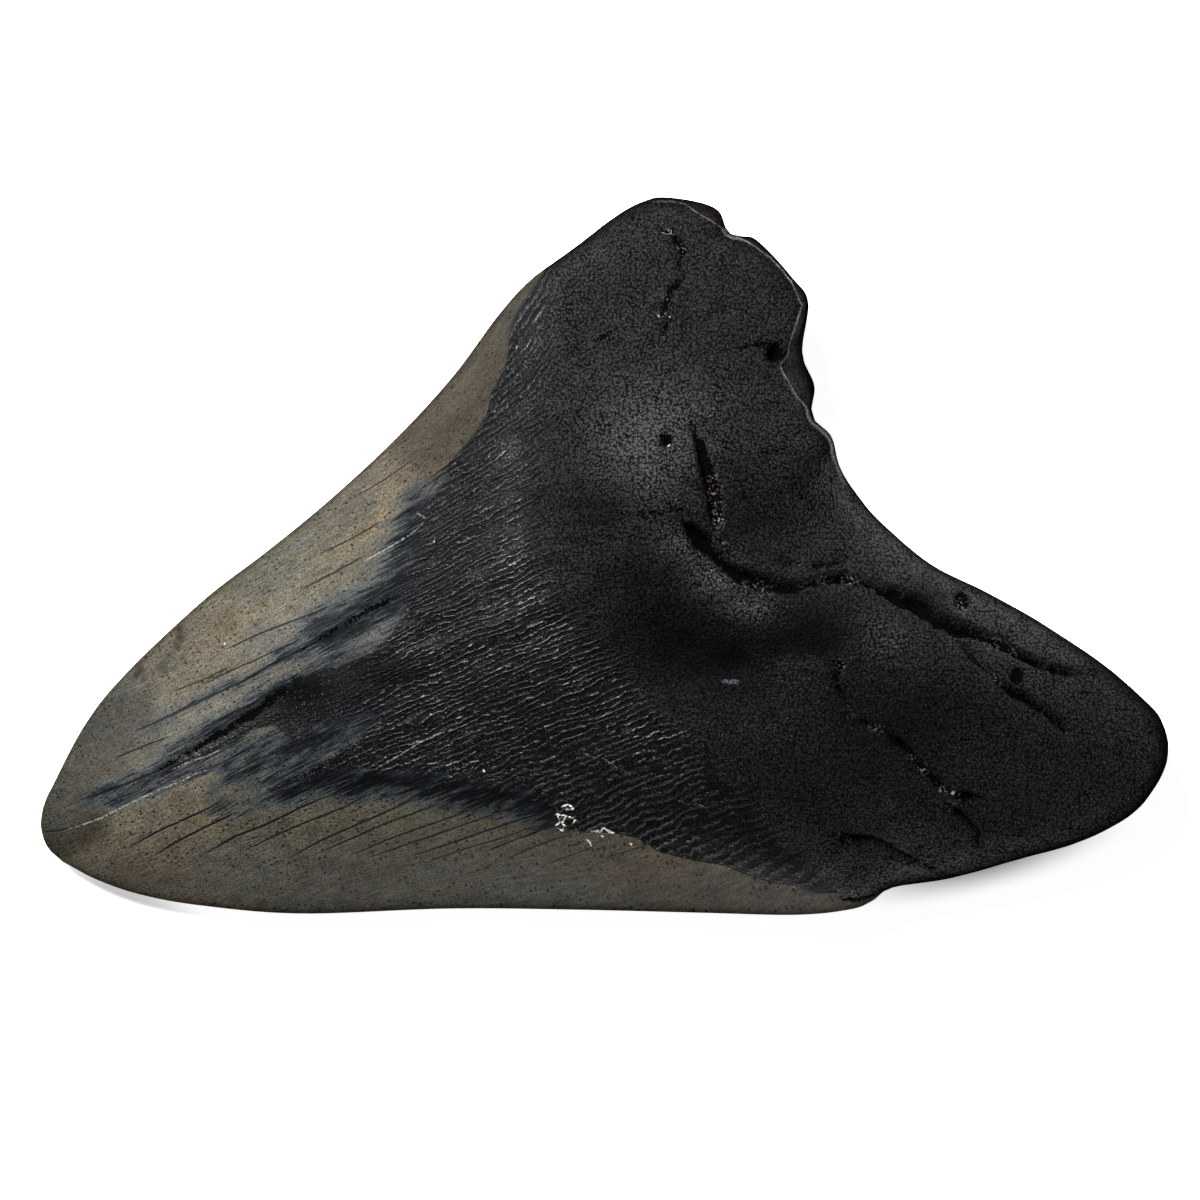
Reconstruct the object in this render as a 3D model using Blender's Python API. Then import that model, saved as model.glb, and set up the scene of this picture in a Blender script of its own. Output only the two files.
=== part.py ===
"""Megalodon tooth, one fossil piece lying on its flat labial face.

The tip points to -X, one root lobe to +Y and the longer one to +X. The flat
labial face lies on z = 0 and the domed lingual face looks up. The origin is on
z = 0, in the middle of the tooth's box.
"""

import bmesh
import bpy
import numpy as np

# Driving dimensions, in metres
TOOTH_LENGTH = 0.130           # tip to the end of the longer root lobe
MILLIMETRE = 0.001

# The photograph gives the plan: its pixels run right and down
TIP_PIXEL_X = 40.2
LOBE_PIXEL_X = 1167.5
PIXEL = TOOTH_LENGTH / (LOBE_PIXEL_X - TIP_PIXEL_X)
PLAN_MIDDLE_PIXEL = (603.85, 556.7)

# The outline, from the tip round both cutting edges to the root's basal margin
TIP_ROUND = [(62, 862), (47, 848), (40.2, 829), (41.5, 811), (46, 797)]
LOWER_EDGE = [(62, 862), (96, 880), (140, 895), (201, 906), (301, 914), (449, 909), (573, 910),
              (700, 913), (796, 915), (850, 909.5), (872, 901), (893, 887.5), (949, 878.5),
              (1019, 858.8), (1067, 846), (1108, 828.5), (1137, 809), (1159, 780.6), (1167.5, 752)]
UPPER_EDGE = [(46, 797), (84, 725), (126, 672.7), (203, 600), (268, 550), (329, 500), (396, 438),
              (453, 376), (497, 317), (530, 280.6), (572, 250), (613, 219), (634, 206), (655, 198)]
BASAL_MARGIN = [(1167.5, 752), (1164, 730), (1153, 709), (1105, 666), (1041, 623), (987, 592.5),
                (930, 564), (882, 524), (859, 498), (840, 469), (831, 437), (812, 416), (814, 386),
                (802, 353), (808, 303), (792, 278), (757, 241), (741, 236.7), (728, 232),
                (719, 212), (700, 203), (672, 198.4), (655, 198)]

# The broken face of the upper lobe lies between this rim and the basal margin
BREAK_RIM = [(664, 199), (684, 206), (709, 221), (737, 237.5), (764, 255.6), (791, 282),
             (801, 306), (791, 333), (787, 356), (780, 366.5), (789, 386.6), (797, 399), (812, 416)]

# Stations from the tip (0) to the basal margin (1), with heights in millimetres
DOME_HEIGHT = [(0, 5), (0.12, 8.2), (0.3, 12.6), (0.5, 17.4), (0.65, 21), (0.8, 23.6), (1, 21.5)]
RIM_HEIGHT = [(0, 2.6), (0.35, 3.0), (0.6, 4.4), (0.8, 7.2), (1, 8.6)]
RIM_BAND = [(0, 0.5), (0.5, 0.7), (0.8, 1.8), (1, 2.4)]
LABIAL_ROUNDING = [(0, 7), (0.5, 10), (0.8, 9), (1, 8)]
TIP_ROUNDING = 8.0
MARGIN_ROUNDING = 15.0
LOBE_DROP = 0.27               # how much lower the lobes' crests lie than the middle

# Swells and hollows of the lingual face: pixel, radii in pixels, turn in degrees, rise in mm
SWELLS = [
    ((672, 480), (120, 88), 60, 4.4),      # lingual bulge
    ((800, 606), (105, 46), -12, 1.8),     # crest towards the right lobe
    ((965, 690), (140, 64), -30, 2.4),
    ((655, 290), (60, 90), 0, 1.2),        # crest of the upper lobe
    ((690, 658), (92, 52), -24, -2.8),     # hollow under the crest
    ((842, 535), (70, 70), 0, -1.8),       # saddle above the basal notch
]
NECK_LINE = [(560, 240), (546, 380), (538, 500), (560, 600), (640, 692), (760, 810), (880, 905)]
NECK_WIDTH = 4.0
NECK_DEPTH = 0.6

# Cracks: pixels along each, half-width and depth in millimetres
CRACKS = [
    ([(668, 228), (671, 236), (684, 256), (681, 268), (686, 276), (676, 287), (665, 310),
      (661, 318), (665, 343)], 0.55, 0.8),
    ([(693, 422), (699, 460), (708, 490), (716, 510), (718, 530)], 0.9, 1.8),
    ([(681, 524), (697, 545), (715, 562), (735, 578), (760, 588), (785, 590), (830, 577),
      (875, 580), (896, 594), (942, 618.6), (984, 626), (1013, 645), (1070, 662), (1102, 678)],
     0.95, 1.9),
    ([(942, 618.6), (972, 657), (1015, 686), (1047, 714), (1062, 730)], 0.6, 1.0),
    ([(845, 700), (872, 722), (898, 748), (925, 772), (950, 793), (979, 797)], 0.7, 1.1),
    ([(947, 805), (968, 818), (987, 844)], 0.5, 0.8),
    ([(863, 836), (903, 855), (943, 872), (964, 875)], 0.5, 0.7),
    ([(406, 594), (341, 625), (268, 671), (191, 709)], 0.5, 0.5),
    ([(351, 657), (313, 674), (246, 720), (150, 774), (77, 803)], 0.6, 0.6),
    ([(378, 728), (313, 762), (265, 797)], 0.6, 0.6),
]

# Pits: pixel, radius and depth in millimetres
PITS = [
    ((665, 440), 0.9, 1.3),                # nutrient hole
    ((733, 665), 1.9, 0.8),
    ((773, 353), 1.6, 2.6),                # notch at the broken rim
    ((714, 500), 1.3, 1.4),
    ((699, 541), 1.5, 1.2),
    ((955, 607), 1.2, 0.9),
    ((1012, 677), 0.9, 0.6),
    ((556, 544), 0.8, 0.5),
    ((605, 335), 0.8, 0.5),
]

# Least lean of the broken face, from its foot to its rim
BREAK_LEAN = 0.7

GRID_ALONG = 210
GRID_ACROSS = 180
TRIANGLES = 9600
TOOTH_COLOUR = (0.020, 0.021, 0.023, 1.0)
TOOTH_ROUGHNESS = 0.5


def clear_scene():
    """Remove whatever the file holds."""
    for item in list(bpy.data.objects):
        bpy.data.objects.remove(item, do_unlink=True)


def smooth_curve(points, per_span=24):
    """Catmull-Rom curve through the points, as a dense run of places."""
    points = np.asarray(points, dtype=float)
    ends = np.vstack([2 * points[0] - points[1], points, 2 * points[-1] - points[-2]])
    before, start, stop, after = ends[:-3], ends[1:-2], ends[2:-1], ends[3:]
    t = (np.arange(per_span) / per_span)[None, :, None]
    before, start, stop, after = (part[:, None, :] for part in (before, start, stop, after))
    curve = 0.5 * (2 * start + (stop - before) * t
                   + (2 * before - 5 * start + 4 * stop - after) * t ** 2
                   + (3 * start - before - 3 * stop + after) * t ** 3)
    return np.vstack([curve.reshape(-1, points.shape[1]), points[-1]])


def station_value(stations, u):
    """Smooth value at u between stations given as (u, value) pairs."""
    curve = smooth_curve(stations)
    return np.interp(u, curve[:, 0], curve[:, 1])


def in_plan(pixels):
    """Places in metres, about the plan's middle, of pixels of the photograph."""
    pixels = np.asarray(pixels, dtype=float)
    shifted = pixels - np.array(PLAN_MIDDLE_PIXEL)
    return shifted * np.array([PIXEL, -PIXEL])


def side_at(points, share):
    """Places at shares 0 to 1 of the length of a side of the outline."""
    curve = smooth_curve(in_plan(points))
    steps = np.linalg.norm(np.diff(curve, axis=0), axis=1)
    length = np.concatenate([[0], np.cumsum(steps)])
    length /= length[-1]
    return np.stack([np.interp(share, length, curve[:, axis]) for axis in (0, 1)], axis=-1)


def distance_to_line(places, line):
    """Distance of every place to a line of straight spans."""
    nearest = np.full(places.shape[:-1], np.inf)
    for start, stop in zip(line[:-1], line[1:]):
        span = stop - start
        share = np.clip(((places - start) @ span) / max(span @ span, 1e-18), 0, 1)
        gap = np.linalg.norm(places - start - share[..., None] * span, axis=-1)
        nearest = np.minimum(nearest, gap)
    return nearest


def inside_loop(places, loop):
    """True where a place lies inside the closed loop."""
    inside = np.zeros(places.shape[:-1], dtype=bool)
    for start, stop in zip(loop, np.roll(loop, -1, axis=0)):
        crosses = (start[1] > places[..., 1]) != (stop[1] > places[..., 1])
        rise = np.where(stop[1] == start[1], 1e-12, stop[1] - start[1])
        reach = start[0] + (places[..., 1] - start[1]) / rise * (stop[0] - start[0])
        inside ^= crosses & (places[..., 0] < reach)
    return inside


def ease(value, low, high):
    """Smooth step from 0 at low to 1 at high."""
    t = np.clip((value - low) / (high - low), 0, 1)
    return t * t * (3 - 2 * t)


def quarter_round(distance, radius):
    """Rise of a quarter ellipse: 0 at the rim, 1 at radius and beyond."""
    t = np.clip(distance / radius, 0, 1)
    return np.sqrt(1 - (1 - t) ** 2)


def plan_grid(u, v):
    """Coons patch between the four sides of the outline."""
    low, high = side_at(LOWER_EDGE, u), side_at(UPPER_EDGE, u)
    tip, root = side_at(TIP_ROUND, v), side_at(BASAL_MARGIN, v)
    lower_tip, upper_tip = in_plan(LOWER_EDGE[0]), in_plan(UPPER_EDGE[0])
    lower_root, upper_root = in_plan(LOWER_EDGE[-1]), in_plan(UPPER_EDGE[-1])
    u, v = u[..., None], v[..., None]
    corners = ((1 - u) * (1 - v) * lower_tip + (1 - u) * v * upper_tip
               + u * (1 - v) * lower_root + u * v * upper_root)
    return (1 - v) * low + v * high + (1 - u) * tip + u * root - corners


def swell(places, pixel, radii, turn, rise):
    """Rounded swell or hollow with its own radii and turn."""
    offset = places - in_plan(pixel)
    angle = np.radians(turn)
    along = offset[..., 0] * np.cos(angle) + offset[..., 1] * np.sin(angle)
    aside = -offset[..., 0] * np.sin(angle) + offset[..., 1] * np.cos(angle)
    reach = (along / (radii[0] * PIXEL)) ** 2 + (aside / (radii[1] * PIXEL)) ** 2
    return rise * MILLIMETRE * np.exp(-reach)


def dome(u, v, places):
    """Height of the lingual face before its margins fall away."""
    lobes = ease(np.abs(2 * v - 1), 0.25, 1) * ease(u, 0.55, 1)
    height = station_value(DOME_HEIGHT, u) * MILLIMETRE * (1 - LOBE_DROP * lobes)
    for pixel, radii, turn, rise in SWELLS:
        height = height + swell(places, pixel, radii, turn, rise)
    neck = distance_to_line(places, smooth_curve(in_plan(NECK_LINE), 6))
    height -= NECK_DEPTH * MILLIMETRE * np.exp(-(neck / (NECK_WIDTH * MILLIMETRE)) ** 2)
    return height


def fall_to_margins(u, v, places):
    """Share of the dome's rise at each place: 0 on the outline, 1 well inside."""
    fullness = 2 + 1.4 * ease(u, 0.45, 1)
    bluntness = 0.80 - 0.30 * ease(u, 0.35, 0.8)
    across = (1 - np.abs(2 * v - 1) ** fullness) ** bluntness
    tip_gap = distance_to_line(places, smooth_curve(in_plan(TIP_ROUND), 6))
    tip = quarter_round(tip_gap, TIP_ROUNDING * MILLIMETRE)
    margin = smooth_curve(in_plan(BASAL_MARGIN), 4)
    gap = distance_to_line(places, margin)
    rounded = quarter_round(gap, MARGIN_ROUNDING * MILLIMETRE)

    rim = in_plan(BREAK_RIM)
    rim_gap = distance_to_line(places, rim)
    outer = margin[inside_loop(margin, np.vstack([in_plan([(640, 150), (900, 150), (900, 416)]),
                                                  rim[::-1]]))]
    broken_face = inside_loop(places, np.vstack([outer, rim]))
    wall = gap / (gap + rim_gap + 1e-9)
    shoulder = 0.9 + 0.1 * quarter_round(rim_gap, 7 * MILLIMETRE)
    edge = np.clip(gap / (BREAK_LEAN * MILLIMETRE), 0, 1)
    broken = np.where(broken_face, 0.9 * wall, shoulder) * edge
    break_share = ease(v, 0.50, 0.58)
    root = rounded + (broken - rounded) * break_share
    return across * tip * root


def carve(places):
    """Depth of the cracks and pits at each place."""
    depth = np.zeros(places.shape[:-1])
    for pixels, half_width, deep in CRACKS:
        gap = distance_to_line(places, in_plan(pixels))
        depth = np.maximum(depth, deep * np.clip(1 - gap / (half_width * MILLIMETRE), 0, 1))
    for pixel, radius, deep in PITS:
        gap = np.linalg.norm(places - in_plan(pixel), axis=-1) / (radius * MILLIMETRE)
        depth = np.maximum(depth, deep * np.clip(1 - gap ** 2, 0, 1))
    return depth * MILLIMETRE


def tooth_surfaces(u, v):
    """Lingual and labial places over the plan."""
    places = plan_grid(u, v)
    rim = station_value(RIM_HEIGHT, u) * MILLIMETRE
    band = station_value(RIM_BAND, u) * MILLIMETRE
    share = fall_to_margins(u, v, places)
    lingual = rim + band / 2 + (dome(u, v, places) - rim - band / 2) * share
    lingual = np.maximum(lingual - carve(places) * np.clip(share * 1.5, 0, 1), rim)

    outline = np.vstack([smooth_curve(in_plan(side), 4)
                         for side in (TIP_ROUND, LOWER_EDGE, BASAL_MARGIN, UPPER_EDGE)[:3]])
    outline = np.vstack([outline, smooth_curve(in_plan(UPPER_EDGE), 4)[::-1]])
    gap = distance_to_line(places, outline)
    rounding = station_value(LABIAL_ROUNDING, u) * MILLIMETRE
    soft = (1 - np.clip(gap / rounding, 0, 1)) ** 2
    round_side = 1 - quarter_round(gap, rounding)
    labial = (rim - band / 2) * (soft + (round_side - soft) * ease(u, 0.5, 0.8))
    return (np.concatenate([places, lingual[..., None]], axis=-1),
            np.concatenate([places, labial[..., None]], axis=-1))


def spread(count, edge_share):
    """Grid shares from 0 to 1, closer together towards both ends."""
    even = np.linspace(0, 1, count + 1)
    return (1 - edge_share) * even + edge_share * 0.5 * (1 - np.cos(np.pi * even))


def tooth_material():
    """Black fossil root and enamel."""
    material = bpy.data.materials.new("fossil_tooth")
    material.use_nodes = True
    shader = material.node_tree.nodes["Principled BSDF"]
    shader.inputs["Base Color"].default_value = TOOTH_COLOUR
    shader.inputs["Roughness"].default_value = TOOTH_ROUGHNESS
    shader.inputs["Metallic"].default_value = 0.0
    return material


def fine_tooth():
    """Grid over the plan, extruded to two faces that are moved to the tooth's surfaces."""
    mesh = bpy.data.meshes.new("tooth_fine")
    cage = bmesh.new()
    bmesh.ops.create_grid(cage, x_segments=GRID_ALONG, y_segments=GRID_ACROSS, size=0.5)
    labial_faces = cage.faces[:]
    result = bmesh.ops.extrude_face_region(cage, geom=labial_faces, use_keep_orig=True)
    for item in result["geom"]:
        if isinstance(item, bmesh.types.BMVert):
            item.co.z = 1.0
    bmesh.ops.recalc_face_normals(cage, faces=cage.faces[:])
    cage.to_mesh(mesh)
    cage.free()

    flat = np.empty(len(mesh.vertices) * 3, dtype=np.float32)
    mesh.vertices.foreach_get("co", flat)
    flat = flat.reshape(-1, 3)
    column = np.rint((flat[:, 0] + 0.5) * GRID_ALONG).astype(int)
    row = np.rint((flat[:, 1] + 0.5) * GRID_ACROSS).astype(int)
    u, v = np.meshgrid(spread(GRID_ALONG, 0.55), spread(GRID_ACROSS, 0.75), indexing="ij")
    lingual, labial = tooth_surfaces(u, v)
    on_top = flat[:, 2] > 0.5
    places = np.where(on_top[:, None], lingual[column, row], labial[column, row])
    mesh.vertices.foreach_set("co", places.astype(np.float32).ravel())
    mesh.update()
    return mesh


def settle(mesh):
    """Flatten the resting face to z = 0 and put the origin in the middle of the box."""
    places = np.empty(len(mesh.vertices) * 3, dtype=np.float32)
    mesh.vertices.foreach_get("co", places)
    places = places.reshape(-1, 3)
    places[places[:, 2] < 0.03 * MILLIMETRE, 2] = 0
    middle = (places.min(axis=0) + places.max(axis=0)) / 2
    places[:, :2] -= middle[:2]
    mesh.vertices.foreach_set("co", places.ravel())
    mesh.update()


def build_tooth():
    """One closed body with about the wanted number of triangles."""
    fine = fine_tooth()
    carrier = bpy.data.objects.new("fine", fine)
    bpy.context.scene.collection.objects.link(carrier)
    thin = carrier.modifiers.new("fewer faces", "DECIMATE")
    thin.decimate_type = "COLLAPSE"
    thin.ratio = TRIANGLES / (2 * len(fine.polygons))
    thin.use_collapse_triangulate = True
    graph = bpy.context.evaluated_depsgraph_get()
    mesh = bpy.data.meshes.new_from_object(carrier.evaluated_get(graph))
    mesh.name = "tooth"
    bpy.data.objects.remove(carrier, do_unlink=True)
    bpy.data.meshes.remove(fine)
    settle(mesh)
    mesh.shade_smooth()
    mesh.set_sharp_from_angle(angle=np.radians(50))
    mesh.materials.clear()
    mesh.materials.append(tooth_material())

    tooth = bpy.data.objects.new("tooth", mesh)
    collection = bpy.data.collections.new("megalodon_tooth")
    bpy.context.scene.collection.children.link(collection)
    collection.objects.link(tooth)
    print("tooth triangles", len(mesh.polygons))
    return tooth


clear_scene()
build_tooth()
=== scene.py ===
import math

import bpy
import numpy as np
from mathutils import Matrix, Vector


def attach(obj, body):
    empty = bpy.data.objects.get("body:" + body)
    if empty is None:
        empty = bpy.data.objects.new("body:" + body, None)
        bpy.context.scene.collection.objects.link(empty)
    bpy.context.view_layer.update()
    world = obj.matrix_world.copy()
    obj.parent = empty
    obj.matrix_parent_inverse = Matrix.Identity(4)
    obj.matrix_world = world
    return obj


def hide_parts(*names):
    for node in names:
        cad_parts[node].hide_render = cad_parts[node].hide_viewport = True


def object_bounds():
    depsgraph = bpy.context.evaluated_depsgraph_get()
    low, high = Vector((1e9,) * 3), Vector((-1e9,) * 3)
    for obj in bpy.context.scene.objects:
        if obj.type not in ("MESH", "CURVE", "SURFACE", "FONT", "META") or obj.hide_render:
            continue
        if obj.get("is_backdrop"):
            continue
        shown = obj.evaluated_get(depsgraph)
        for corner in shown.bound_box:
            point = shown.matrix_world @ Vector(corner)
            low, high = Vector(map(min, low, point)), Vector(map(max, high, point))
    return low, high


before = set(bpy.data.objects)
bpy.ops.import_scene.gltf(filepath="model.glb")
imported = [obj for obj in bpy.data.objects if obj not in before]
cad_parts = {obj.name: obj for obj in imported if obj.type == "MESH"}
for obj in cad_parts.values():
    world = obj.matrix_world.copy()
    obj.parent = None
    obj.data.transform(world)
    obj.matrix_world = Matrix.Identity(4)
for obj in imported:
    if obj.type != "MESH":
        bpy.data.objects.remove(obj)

cadLow, cadHigh = (list(corner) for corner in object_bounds())
millimetre = 0.001

# Where things are on the tooth is given in pixels of the photograph, right and down
plan = {
    "tipPixelX": 40.2,
    "lobePixelX": 1167.5,
    "topPixelY": 198.0,
    "lowPixelY": 915.2,
    "tipRound": [(62, 862), (47, 848), (40.2, 829), (41.5, 811), (46, 797)],
    "lowerEdge": [(62, 862), (96, 880), (140, 895), (201, 906), (301, 914), (449, 909), (573, 910),
                  (700, 913), (796, 915), (850, 909.5), (872, 901), (893, 887.5), (949, 878.5),
                  (1019, 858.8), (1067, 846), (1108, 828.5), (1137, 809), (1156, 784), (1165, 765),
                  (1167.5, 752)],
    "upperEdge": [(46, 797), (84, 725), (126, 672.7), (203, 600), (268, 550), (329, 500), (396, 438),
                  (453, 376), (497, 317), (530, 280.6), (572, 250), (613, 219), (634, 206), (655, 198)],
    "basalMargin": [(1167.5, 752), (1167, 740), (1162.5, 725), (1151, 707), (1105, 666), (1041, 623),
                    (987, 592.5), (930, 564), (882, 524), (859, 498), (840, 469), (831, 437), (812, 416),
                    (814, 386), (802, 353), (808, 303), (792, 278), (757, 241), (741, 236.7), (728, 232),
                    (719, 212), (700, 203), (672, 198.4), (655, 198)],
    "breakRim": [(664, 199), (684, 206), (709, 221), (737, 237.5), (764, 255.6), (791, 282),
                 (801, 306), (791, 333), (787, 356), (780, 366.5), (789, 386.6), (797, 399), (812, 416)],
}
pixel = (cadHigh[0] - cadLow[0]) / (plan["lobePixelX"] - plan["tipPixelX"])
middlePixel = np.array([(plan["tipPixelX"] + plan["lobePixelX"]) / 2,
                        (plan["topPixelY"] + plan["lowPixelY"]) / 2])


def toPlace(pixels):
    # pixels of the photograph to metres on the table
    return (np.asarray(pixels, float) - middlePixel) * np.array([pixel, -pixel])


def ease(value, low, high):
    # smooth step: 0 at low, 1 at high
    t = np.clip((value - low) / (high - low), 0, 1)
    return t * t * (3 - 2 * t)


def smoothCurve(points, perSpan=24):
    # Catmull-Rom: each span is the cubic whose slope at a point joins that point's neighbours
    points = np.asarray(points, float)
    ends = np.vstack([2 * points[0] - points[1], points, 2 * points[-1] - points[-2]])
    p0, p1, p2, p3 = (part[:, None, :] for part in (ends[:-3], ends[1:-2], ends[2:-1], ends[3:]))
    t = (np.arange(perSpan) / perSpan)[None, :, None]
    curve = 0.5 * (2 * p1 + (p2 - p0) * t + (2 * p0 - 5 * p1 + 4 * p2 - p3) * t ** 2
                   + (3 * p1 - p0 - 3 * p2 + p3) * t ** 3)
    return np.vstack([curve.reshape(-1, points.shape[1]), points[-1]])


def stationValue(stations, u):
    curve = smoothCurve(stations)
    return np.interp(u, curve[:, 0], curve[:, 1])


def sideAt(points, share):
    # places at even shares of a side's own length
    curve = smoothCurve(toPlace(points))
    length = np.concatenate([[0], np.cumsum(np.linalg.norm(np.diff(curve, axis=0), axis=1))])
    length /= length[-1]
    return np.stack([np.interp(share, length, curve[:, axis]) for axis in (0, 1)], axis=-1)


def lineGap(places, line):
    # distance to a line of straight spans: the least of the distances to its spans
    nearest = np.full(places.shape[:-1], np.inf)
    for start, stop in zip(line[:-1], line[1:]):
        span = stop - start
        share = np.clip(((places - start) @ span) / max(span @ span, 1e-18), 0, 1)
        nearest = np.minimum(nearest, np.linalg.norm(places - start - share[..., None] * span, axis=-1))
    return nearest


def insideLoop(places, loop):
    # even-odd rule: inside where a ray to the right crosses the loop an odd number of times
    inside = np.zeros(places.shape[:-1], bool)
    for start, stop in zip(loop, np.roll(loop, -1, axis=0)):
        crosses = (start[1] > places[..., 1]) != (stop[1] > places[..., 1])
        rise = stop[1] - start[1] if stop[1] != start[1] else 1e-12
        meeting = start[0] + (places[..., 1] - start[1]) / rise * (stop[0] - start[0])
        inside ^= crosses & (places[..., 0] < meeting)
    return inside


def loopDepth(places, loop):
    # signed distance to a closed loop, positive inside
    gap = lineGap(places, np.vstack([loop, loop[:1]]))
    return np.where(insideLoop(places, loop), gap, -gap)


def latticeNoise(points, seed):
    # value noise: random numbers at whole-number corners, blended with a smooth step, from -1 to 1
    table = np.random.default_rng(seed).permutation(4096)
    heights = np.random.default_rng(seed + 1).uniform(-1, 1, 4096)
    cell = np.floor(points).astype(np.int64)
    part = points - cell
    blend = part * part * (3 - 2 * part)
    total = np.zeros(points.shape[:-1])
    for corner in np.ndindex(*(2,) * points.shape[-1]):
        key = np.zeros(points.shape[:-1], np.int64)
        weight = np.ones(points.shape[:-1])
        for axis, step in enumerate(corner):
            key = table[(key + cell[..., axis] + step) & 4095]
            weight = weight * (blend[..., axis] if step else 1 - blend[..., axis])
        total += weight * heights[key]
    return total


def layeredNoise(points, seed, layers=3, fall=0.5):
    # each layer is twice as fine as the last and weaker by fall
    return sum(fall ** k * latticeNoise(points * 2 ** k + 17.3 * k, seed + 10 * k) for k in range(layers))


# The tooth's main form: heights in millimetres at stations from the tip (0) to the basal margin (1)
form = {
    "domeHeight": [(0, 5), (0.12, 8.2), (0.3, 12.6), (0.5, 17.4), (0.65, 21), (0.8, 23.6), (1, 21.5)],
    "rimHeight": [(0, 2.6), (0.35, 3.0), (0.6, 4.4), (0.8, 7.2), (1, 8.6)],
    "rimBand": [(0, 0.5), (0.5, 0.7), (0.8, 1.8), (1, 2.4)],
    "labialRounding": [(0, 7), (0.5, 10), (0.8, 9), (1, 8)],
    "tipRounding": 8.0,
    "marginRounding": 15.0,
    "lobeDrop": 0.27,
    "breakLean": 0.7,
    "neckLine": [(560, 240), (546, 380), (538, 500), (560, 600), (640, 692), (760, 810), (880, 905)],
    "neckWidth": 4.0,
    "neckDepth": 0.6,
    "swells": [                                    # pixel, radii in pixels, turn, rise in mm
        ((672, 480), (120, 88), 60, 4.4),          # lingual bulge
        ((800, 606), (105, 46), -12, 1.8),         # crest towards the right lobe
        ((965, 690), (140, 64), -30, 2.4),
        ((655, 290), (60, 90), 0, 1.2),            # crest of the upper lobe
        ((690, 658), (92, 52), -24, -2.8),         # hollow under the crest
        ((842, 535), (70, 70), 0, -1.8),           # saddle above the basal notch
    ],
}


def quarterRound(gap, radius):
    t = np.clip(gap / radius, 0, 1)
    return np.sqrt(1 - (1 - t) ** 2)


def planGrid(u, v):
    # Coons patch: the blend of both pairs of sides, less the blend of the four corners
    low, high = sideAt(plan["lowerEdge"], u), sideAt(plan["upperEdge"], u)
    tip, root = sideAt(plan["tipRound"], v), sideAt(plan["basalMargin"], v)
    u, v = u[..., None], v[..., None]
    lowTip, highTip = toPlace(plan["lowerEdge"][0]), toPlace(plan["upperEdge"][0])
    lowRoot, highRoot = toPlace(plan["lowerEdge"][-1]), toPlace(plan["upperEdge"][-1])
    corners = (1 - u) * (1 - v) * lowTip + (1 - u) * v * highTip + u * (1 - v) * lowRoot + u * v * highRoot
    return (1 - v) * low + v * high + (1 - u) * tip + u * root - corners


def domeHeight(u, v, places):
    # stations along the tooth, lower on the lobes, plus bell-shaped swells, less the neck's groove
    lobes = ease(np.abs(2 * v - 1), 0.25, 1) * ease(u, 0.55, 1)
    height = stationValue(form["domeHeight"], u) * (1 - form["lobeDrop"] * lobes)
    for spot, radii, turn, rise in form["swells"]:
        offset = (places - toPlace(spot)) / pixel
        angle = math.radians(turn)
        along = (offset[..., 0] * math.cos(angle) + offset[..., 1] * math.sin(angle)) / radii[0]
        aside = (offset[..., 1] * math.cos(angle) - offset[..., 0] * math.sin(angle)) / radii[1]
        height = height + rise * np.exp(-along ** 2 - aside ** 2)
    neck = lineGap(places, smoothCurve(toPlace(form["neckLine"]), 6)) / millimetre
    return (height - form["neckDepth"] * np.exp(-(neck / form["neckWidth"]) ** 2)) * millimetre


def brokenFace():
    # the loop between the break's rim and the stretch of basal margin outside it
    rim = toPlace(plan["breakRim"])
    margin = smoothCurve(toPlace(plan["basalMargin"]), 4)
    beyond = np.vstack([toPlace([(640, 150), (900, 150), (900, 416)]), rim[::-1]])
    loop = np.vstack([margin[insideLoop(margin, beyond)], rim])
    return rim, margin, loop


def marginFall(u, v, places):
    # share of the dome's rise: 0 on the outline, 1 well inside it
    fullness = 2 + 1.4 * ease(u, 0.45, 1)
    bluntness = 0.80 - 0.30 * ease(u, 0.35, 0.8)
    across = (1 - np.abs(2 * v - 1) ** fullness) ** bluntness
    tipGap = lineGap(places, smoothCurve(toPlace(plan["tipRound"]), 6))
    tip = quarterRound(tipGap, form["tipRounding"] * millimetre)
    rim, margin, loop = brokenFace()
    gap = lineGap(places, margin)
    rounded = quarterRound(gap, form["marginRounding"] * millimetre)
    rimGap = lineGap(places, rim)
    shoulder = 0.9 + 0.1 * quarterRound(rimGap, 7 * millimetre)
    wall = 0.9 * gap / (gap + rimGap + 1e-9)
    foot = np.clip(gap / (form["breakLean"] * millimetre), 0, 1)
    broken = np.where(insideLoop(places, loop), wall, shoulder) * foot
    return across * tip * (rounded + (broken - rounded) * ease(v, 0.50, 0.58))


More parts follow.
